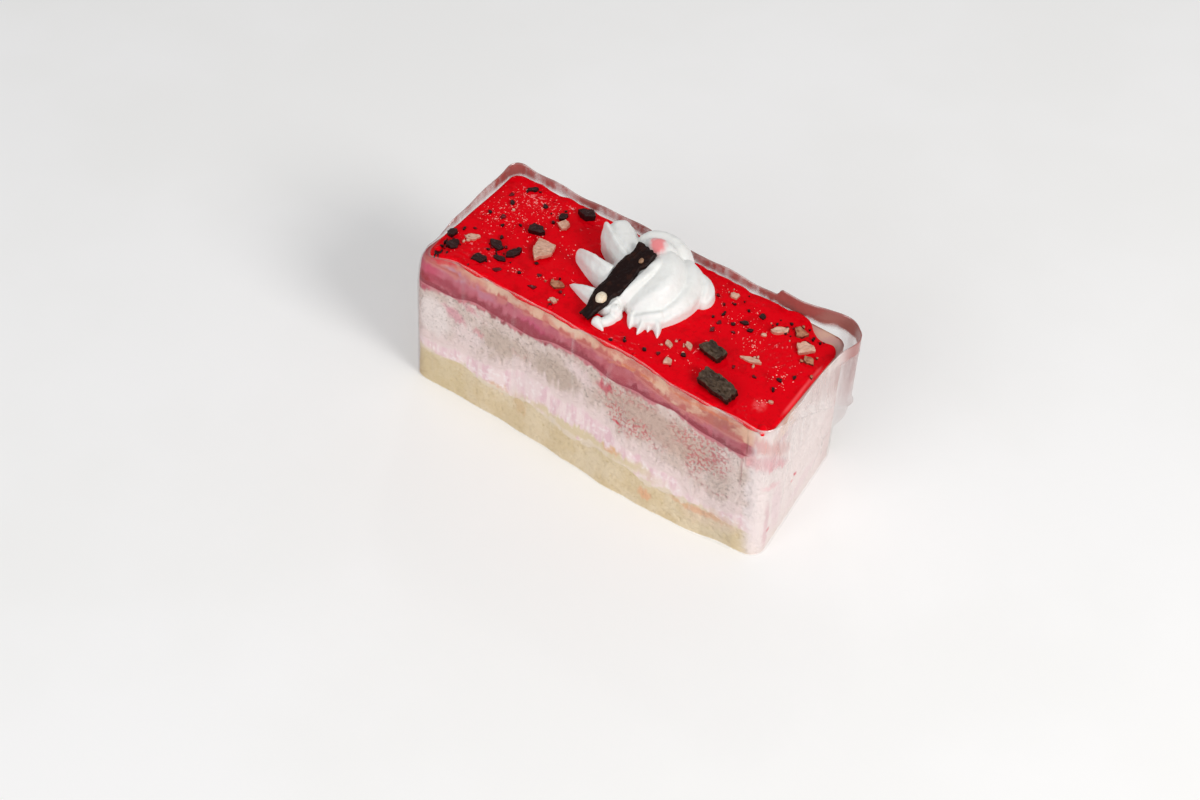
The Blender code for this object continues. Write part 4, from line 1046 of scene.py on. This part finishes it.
# The lobes are joined by a fine voxel skin, softened a little and given a slight relief
def makeRosette():
    parts = joinParts([lobeParts(*lobe) for lobe in lobes])
    draft = putMesh("roughRosette", *parts, creamFinish(), inBlock=False)
    remesh = draft.modifiers.new("voxels", "REMESH")
    remesh.mode = "VOXEL"
    remesh.voxel_size = rosette["voxel"] * mm
    soften = draft.modifiers.new("soften", "SMOOTH")
    soften.iterations = rosette["smooth"]
    soften.factor = 0.5
    depsgraph = bpy.context.evaluated_depsgraph_get()
    mesh = bpy.data.meshes.new_from_object(draft.evaluated_get(depsgraph))
    bpy.data.objects.remove(draft)
    co, normal = vertexRows(mesh, "co") / mm, vertexRows(mesh, "normal")
    co[:, 2] = np.maximum(co[:, 2], -0.05)
    x, y, z = co.T
    relief = creamLook["relief"] * layeredNoise(x / 2.1, y / 2.1, z / 2.1, 4)
    co = co + normal * (relief * smoothStep(0.2, 1.5, z))[:, None]
    co[:, 2] = pressUnderStick(co)
    x, y, z = co.T
    blush = hump(x, creamLook["blushX"], 2.3) * hump(y, creamLook["blushY"], 3.6) * smoothStep(5, 8, z)
    blush = blush * (1 + 0.35 * layeredNoise(x / 0.9, y / 1.6, 0.0, 2))
    co = rosetteToBlock(co) + np.array(block["shift"])
    mesh.vertices.foreach_set("co", (co * mm).astype(np.float32).ravel())
    layer = mesh.attributes.new("blush", "FLOAT", "POINT")
    layer.data.foreach_set("value", blush.astype(np.float32))
    mesh.polygons.foreach_set("use_smooth", np.ones(len(mesh.polygons), bool))
    mesh.update()
    settle(addObject("whippedCreamRosette", mesh), "whipped_cream", "cream_rosette")


# Share of the stick's width at u, from -1 at its foot to 1 at its head
def stickNarrow(u):
    return stick["footShare"] + (1 - stick["footShare"]) * smoothStep(-1.0, -0.1, u)


# The stick's middle, length and its unit vectors along, across and upward
def stickAxes():
    along = stick["head"] - stick["foot"]
    length = np.linalg.norm(along)
    along = along / length
    side = np.cross([0, 0, 1.0], along)
    side = side / np.linalg.norm(side)
    return (stick["foot"] + stick["head"]) / 2, length, along, side, np.cross(along, side)


# Cream under the stick is pressed down to just below its under face, with a soft shoulder
def pressUnderStick(co):
    middle, length, along, side, up = stickAxes()
    local = co - middle
    v = local @ side
    level = math.hypot(along[0], along[1])
    u = (local[:, 0] * along[0] + local[:, 1] * along[1]) / level / level
    narrow = stick["width"] / 2 * stickNarrow(u / (length / 2))
    under = smoothStep(length / 2 + 1.0, length / 2 - 0.2, np.abs(u))
    under = under * smoothStep(0.5, -0.4, np.abs(v) - narrow)
    face = middle[2] + u * along[2] - stick["thickness"] / 2 + 0.15
    return co[:, 2] * (1 - under) + np.minimum(co[:, 2], face) * under


makeRosette()
print("rosette made")


# Chocolate stick

# Dark chocolate with browner patches and a coarse grain
def stickFinish():
    values = {"Roughness": stick["roughness"], "Specular IOR Level": stick["shine"]}
    material, tree, shader = newFinish("stickChocolate", values, (900.0, 0.35, 0.6, 0.0005))
    colour = blotch(tree, stick["colour"], stick["patch"], 420.0, 0.50, 0.66, 0.8)
    feed(tree, shader, {"Base Color": colour})
    return material


# Points along, across and above the stick, in the block
def fromStick(points):
    middle, length, along, side, up = stickAxes()
    return rosetteToBlock(middle + points[:, :1] * along + points[:, 1:2] * side + points[:, 2:] * up)


# A rough bar: a closed sheet that narrows to its foot, with a jagged right edge and lumps.
def makeStick():
    length = stickAxes()[1]
    u = np.linspace(-1, 1, 150)[:, None] + np.zeros(46)[None, :]
    v = np.zeros(150)[:, None] + np.linspace(-1, 1, 46)[None, :]
    jag = 1 - 0.16 * np.maximum(0, np.sin(8 * u + 2 * v)) * np.abs(v)
    jag = jag + 0.07 * layeredNoise(u * 6, v * 0.6, 3.0, 3) * np.abs(v)
    x = u * length / 2 + 0.5 * np.abs(u) ** 8 * layeredNoise(v * 2.0, 0.3, 5.0, 2)
    y = v * stick["width"] / 2 * stickNarrow(u) * jag
    rim = np.maximum(np.abs(u) ** 10, np.abs(v) ** 6)
    lumps = 0.28 * layeredNoise(x / 2.4, y / 1.4, 2.0, 4)
    half = stick["thickness"] / 2
    top = np.stack([x, y, half * (1 - 0.5 * rim) * 0.95 + lumps * (1 - 0.6 * rim)], axis=-1)
    bottom = np.stack([x, y, -half * (1 - 0.4 * rim) + 0.4 * lumps], axis=-1)
    points, *faces = closedSheet(top, bottom)
    putPiece("chocolateStick", (fromStick(points), *faces), stickFinish(), "chocolate", "chocolate_stick")


# Beads on the stick: name, radius, place along, across and above it, squash, colour, patches
beads = [("whiteBead", 1.7, (-6.4, -0.5, 0.9), (1, 0.9, 0.75), (236, 222, 200), (222, 196, 160)),
         ("tanCrumb", 0.8, (8.6, -1.6, 1.0), (1.1, 0.8, 0.6), (150, 112, 84), (120, 84, 60))]


# Squashed balls, each made lumpy by noise
def makeBeads():
    ball = ballRings(24, 40)
    lump = 1 + 0.06 * layeredNoise(*(2 * np.moveaxis(ball, -1, 0)), 2)
    for name, radius, centre, squash, colour, patch in beads:
        rings = ball * lump[..., None] * radius * np.array(squash) + np.array(centre)
        points, *faces = closedRings(rings)
        finish = beadFinish(name + "Finish", linear(*colour), linear(*patch))
        putPiece(name, (fromStick(points), *faces), finish, "almond", "chocolate_stick")


makeStick()
makeBeads()
print("stick made")


# Clear film strip

film = {
    "thickness": 0.16, "gap": 0.32, "startX": 48.6, "overlap": 9.0, "foot": 0.1,
    "flapDepth": 3.4, "flapReach": 9.0, "flapLow": 15.0, "stepX": 33.0,
    "foldDepth": 1.4, "foldHeight": 35.3, "foldTilt": 0.6, "columns": 560, "rows": 62,
    "clear": linear(236, 229, 226), "tan": linear(160, 98, 92), "roughness": 0.14, "ior": 1.9,
}
# How milky the film is, by place; the milkiness along the creases and at the top edge is painted highlight
filmHaze = {"all": 0.025, "back": 0.9, "backRight": 0.45, "right": 0.08, "rightTop": 0.30,
            "left": 0.6, "corner": 0.22, "rim": 0.24, "creaseHighlight": 0.3}
# Creases pinched into the strip: distance walked from its free end, depth, half width,
# height where it starts and ends, lean along the wall
creases = [
    (12.0, 0.5, 0.8, 4, 30, 0.05), (33.5, 0.6, 0.7, 8, 34, 0.10), (44.0, 0.4, 0.9, 20, 46, -0.12),
    (51.5, 0.7, 0.8, 24, 48, 0.15), (58.0, 0.35, 1.0, 5, 22, 0.0), (72.0, 0.4, 1.2, 10, 46, 0.05),
    (88.0, 0.45, 0.8, 26, 48, 0.2), (99.0, 0.3, 0.8, 2, 40, 0.0), (263.0, 0.7, 0.7, 4, 24, 0.3),
    (271.0, 0.5, 0.9, 2, 26, -0.4), (280.0, 0.6, 0.8, 4, 30, 0.25), (289.0, 0.7, 0.7, 8, 38, -0.15),
    (297.0, 0.5, 0.6, 4, 34, 0.1),
]


# Upper edge: level with the gel at the front, proud at the back, with a step near the right.
def filmTop(x, y, walked):
    back = smoothStep(-6, block["width"] / 2, y)
    right = smoothStep(film["stepX"] - 0.8, film["stepX"] + 0.8, x)
    wave = np.sin(walked / 4.7) + 0.7 * np.sin(walked / 2.3 + 1)
    proud = 0.5 + back * (1.9 + 2.4 * right * smoothStep(60, 30, x))
    corner = 1.6 * hump(x, block["length"] / 2, 9) * back
    leftEnd = 1.2 * hump(x, -block["length"] / 2, 5) * smoothStep(-18, -10, y) - 3.2 * leftCorner(x, y)
    return topPlane(x) + proud + corner + leftEnd + 0.32 * wave


# Sum of the creases at a point: each falls off evenly to its sides and fades at its two ends
def creaseDepth(walked, z, width):
    total = 0.0 * z
    for at, depth, reach, low, high, lean in creases:
        where = np.abs(walked - at - lean * (z - low)) / (reach * width)
        total = total + depth * np.exp(-where) * smoothStep(low, low + 6, z) * smoothStep(high, high - 6, z)
    return total


# Distance of the strip from the cake: a lap at its ends, a loose flap at the back right corner, a
# fold across the right end and pinched creases.
def filmOffset(x, y, z, walked):
    lap = film["thickness"] + film["gap"]
    outer = lap * (1 - smoothStep(film["overlap"] + 1, film["overlap"] + 9, walked))
    corner = np.hypot(x - block["length"] / 2, y - block["width"] / 2)
    loose = smoothStep(film["flapLow"] - 3, film["flapLow"] + 4, z)
    flap = film["flapDepth"] * hump(corner, 0, film["flapReach"]) * loose
    onEnd = smoothStep(block["length"] / 2 - 1, block["length"] / 2, x)
    foldLine = film["foldHeight"] - film["foldTilt"] * y
    bend = hump(z, foldLine, 1.3) + 0.5 * smoothStep(foldLine - 1, foldLine + 4, z)
    fold = film["foldDepth"] * onEnd * bend
    crinkle = 0.10 * layeredNoise(walked / 4.0, z / 7.0, 2.5, 3)
    crinkle = crinkle + 0.03 * layeredNoise(walked / 1.2, z / 3.0, 6.5, 2)
    return film["gap"] + outer + flap + fold + creaseDepth(walked, z, 1.0) + crinkle


# Milky where the mark says, with fine upright streaks, and whiter towards grazing angles as a painted
# reflection of the bright room; a face seen from behind is left clear, so that the thin strip shows once
def filmFinish():
    values = {"Roughness": film["roughness"], "IOR": film["ior"]}
    material, tree, shader = newFinish("clearFilm", values, (260.0, 0.0, 0.3, 0.0005))
    # Tan: partly cream and gel smears, partly painted reflection of the red gel
    tan = mixByMark(tree, film["clear"], film["tan"], "tan", 0.0, 1.0)
    place = addNode(tree, "ShaderNodeTexCoord")
    stretch = addNode(tree, "ShaderNodeMapping", {
        "Vector": place.outputs["Object"], "Scale": (1.0, 1.0, 0.25)})
    streaks = addNode(tree, "ShaderNodeTexNoise", {
        "Vector": stretch.outputs[0], "Scale": 420.0, "Detail": 3.0})
    streakShare = addNode(tree, "ShaderNodeMapRange", {
        "Value": streaks.outputs["Fac"], "From Min": 0.35, "From Max": 0.72, "To Min": 0.75, "To Max": 1.3})
    haze = addNode(tree, "ShaderNodeAttribute", attribute_name="haze")
    milky = addNode(tree, "ShaderNodeMath", {0: haze.outputs["Fac"], 1: streakShare.outputs[0]},
                    operation="MULTIPLY")
    # Opaque white towards grazing angles: painted reflection
    rim = addNode(tree, "ShaderNodeLayerWeight", {"Blend": 0.25})
    grazingReflection = addNode(tree, "ShaderNodeMath", {0: rim.outputs["Facing"], 1: 5.0}, operation="POWER")
    both = addNode(tree, "ShaderNodeMath", {0: grazingReflection.outputs[0], 1: 0.45, 2: milky.outputs[0]},
                   operation="MULTIPLY_ADD", use_clamp=True)
    facing = addNode(tree, "ShaderNodeNewGeometry")
    front = addNode(tree, "ShaderNodeMath", {0: 1.0, 1: facing.outputs["Backfacing"]}, operation="SUBTRACT")
    shown = addNode(tree, "ShaderNodeMath", {0: both.outputs[0], 1: front.outputs[0]}, operation="MULTIPLY")
    feed(tree, shader, {"Base Color": tan, "Alpha": shown.outputs[0]})
    return material


# Outer and inner grids, walked along the outline and up the wall, joined at their edges.
def makeFilm():
    walked = np.linspace(0, outlineLength + film["overlap"], film["columns"])[:, None]
    share = np.linspace(0, 1, film["rows"])[None, :]
    x, y, nx, ny = outline(walked - film["startX"])
    top = filmTop(x, y, walked)
    z = film["foot"] + share * (top - film["foot"])
    dx, dy = strayAll(x, y, z)
    offset = filmOffset(x, y, z, walked)
    grids = [np.stack([x + dx + nx * reach, y + dy + ny * reach, z], axis=-1)
             for reach in (offset + film["thickness"], offset)]
    back = smoothStep(6, 21, y)
    rightEnd = smoothStep(50, 55, x) * smoothStep(18, 34, z)
    backRight = back * smoothStep(24, 40, x)
    proud = smoothStep(-2.2, 0.6, z - topPlane(x))
    leftEnd = smoothStep(-52, -55.4, x)
    milky = filmHaze
    haze = milky["all"] + milky["back"] * back * proud + milky["backRight"] * backRight * proud
    haze = haze + milky["rightTop"] * rightEnd + milky["right"] * smoothStep(50, 54, x)
    haze = haze + leftEnd * (milky["left"] * proud + milky["corner"] * leftCorner(x, y))
    # Whitish line along the top edge: painted highlight
    haze = haze + milky["rim"] * smoothStep(0.5, 0.12, top - z)
    # Whitish lines along the creases: painted highlight
    haze = haze + milky["creaseHighlight"] * creaseDepth(walked, z, 0.5)
    # Tan on the back and the left end: partly smears, partly painted reflection of the red gel
    tan = np.clip(0.85 * back + 0.3 * backRight + 0.85 * leftEnd + 0.6 * leftCorner(x, y), 0, 1) + 0 * z
    marks = {title: np.concatenate([values.ravel()] * 2) for title, values in (("haze", haze), ("tan", tan))}
    putPiece("clearFilmStrip", closedSheet(*grids), filmFinish(), "clear_film", "film_wrap", marks)


makeFilm()
print("film made")


# Floor, light and camera

stageLook = {
    "floorSize": 3.0, "floorGlow": 0.085,
    "floorColour": linear(244, 243, 242), "floorPatch": linear(241, 240, 238),
    "skyColour": linear(240, 241, 243), "sky": 0.51,
    "lamps": [
        ("keyLamp", (0.92, -0.18, 0.66), 0.45, 6.9, (1.0, 0.985, 0.965)),
        ("fillLamp", (-0.15, -1.05, 0.62), 0.80, 4.5, (0.97, 0.985, 1.0)),
        ("glintLamp", (-0.42, 0.80, 0.62), 0.10, 0.35, (1.0, 1.0, 1.0)),
    ],
    "camera": (0.20465, -0.34684, 0.41332), "cameraTurn": (44.574, -1.705, 33.435), "lens": 60.0,
}


# Pale floor that glows a little, so that it stays even away from the lamps
def floorFinish():
    values = {"Roughness": 0.6, "Emission Color": (1, 1, 1, 1), "Emission Strength": stageLook["floorGlow"]}
    material, tree, shader = newFinish("paleFloor", values)
    colour = blotch(tree, stageLook["floorColour"], stageLook["floorPatch"], 6.0, 0.4, 0.6)
    feed(tree, shader, {"Base Color": colour})
    return material


# Square floor at the base, round lamps turned to the middle, and an even sky
def makeStage():
    half = stageLook["floorSize"] / 2 / mm
    corners = np.array([[-half, -half, 0], [half, -half, 0], [half, half, 0], [-half, half, 0]])
    mesh = bpy.data.meshes.new("floor")
    mesh.from_pydata([tuple(c * mm) for c in corners], [], [(0, 1, 2, 3)])
    mesh.materials.append(floorFinish())
    floor = addObject("floor", mesh)
    for name, place, size, power, colour in stageLook["lamps"]:
        lamp = bpy.data.lights.new(name, "AREA")
        lamp.shape, lamp.size, lamp.energy, lamp.color = "DISK", size, power, colour
        holder = addObject(name, lamp)
        holder.location = place
        holder.rotation_euler = (-Vector(place)).to_track_quat("-Z", "Y").to_euler()
    world = bpy.data.worlds.new("paleRoom")
    world.use_nodes = True
    sky = world.node_tree.nodes["Background"]
    feed(world.node_tree, sky, {"Color": stageLook["skyColour"], "Strength": stageLook["sky"]})
    bpy.context.scene.world = world


# Camera fitted to the photo, moved with the block
def makeCamera():
    lens = bpy.data.cameras.new("camera")
    lens.lens, lens.sensor_width = stageLook["lens"], 36.0
    lens.clip_start = 0.01
    camera = addObject("camera", lens)
    camera.location = Vector(stageLook["camera"]) + Vector(block["shift"]) * mm
    camera.rotation_euler = [math.radians(v) for v in stageLook["cameraTurn"]]
    bpy.context.scene.camera = camera


makeStage()
makeCamera()
bpy.context.scene.view_settings.view_transform = "Standard"
print("stage made")
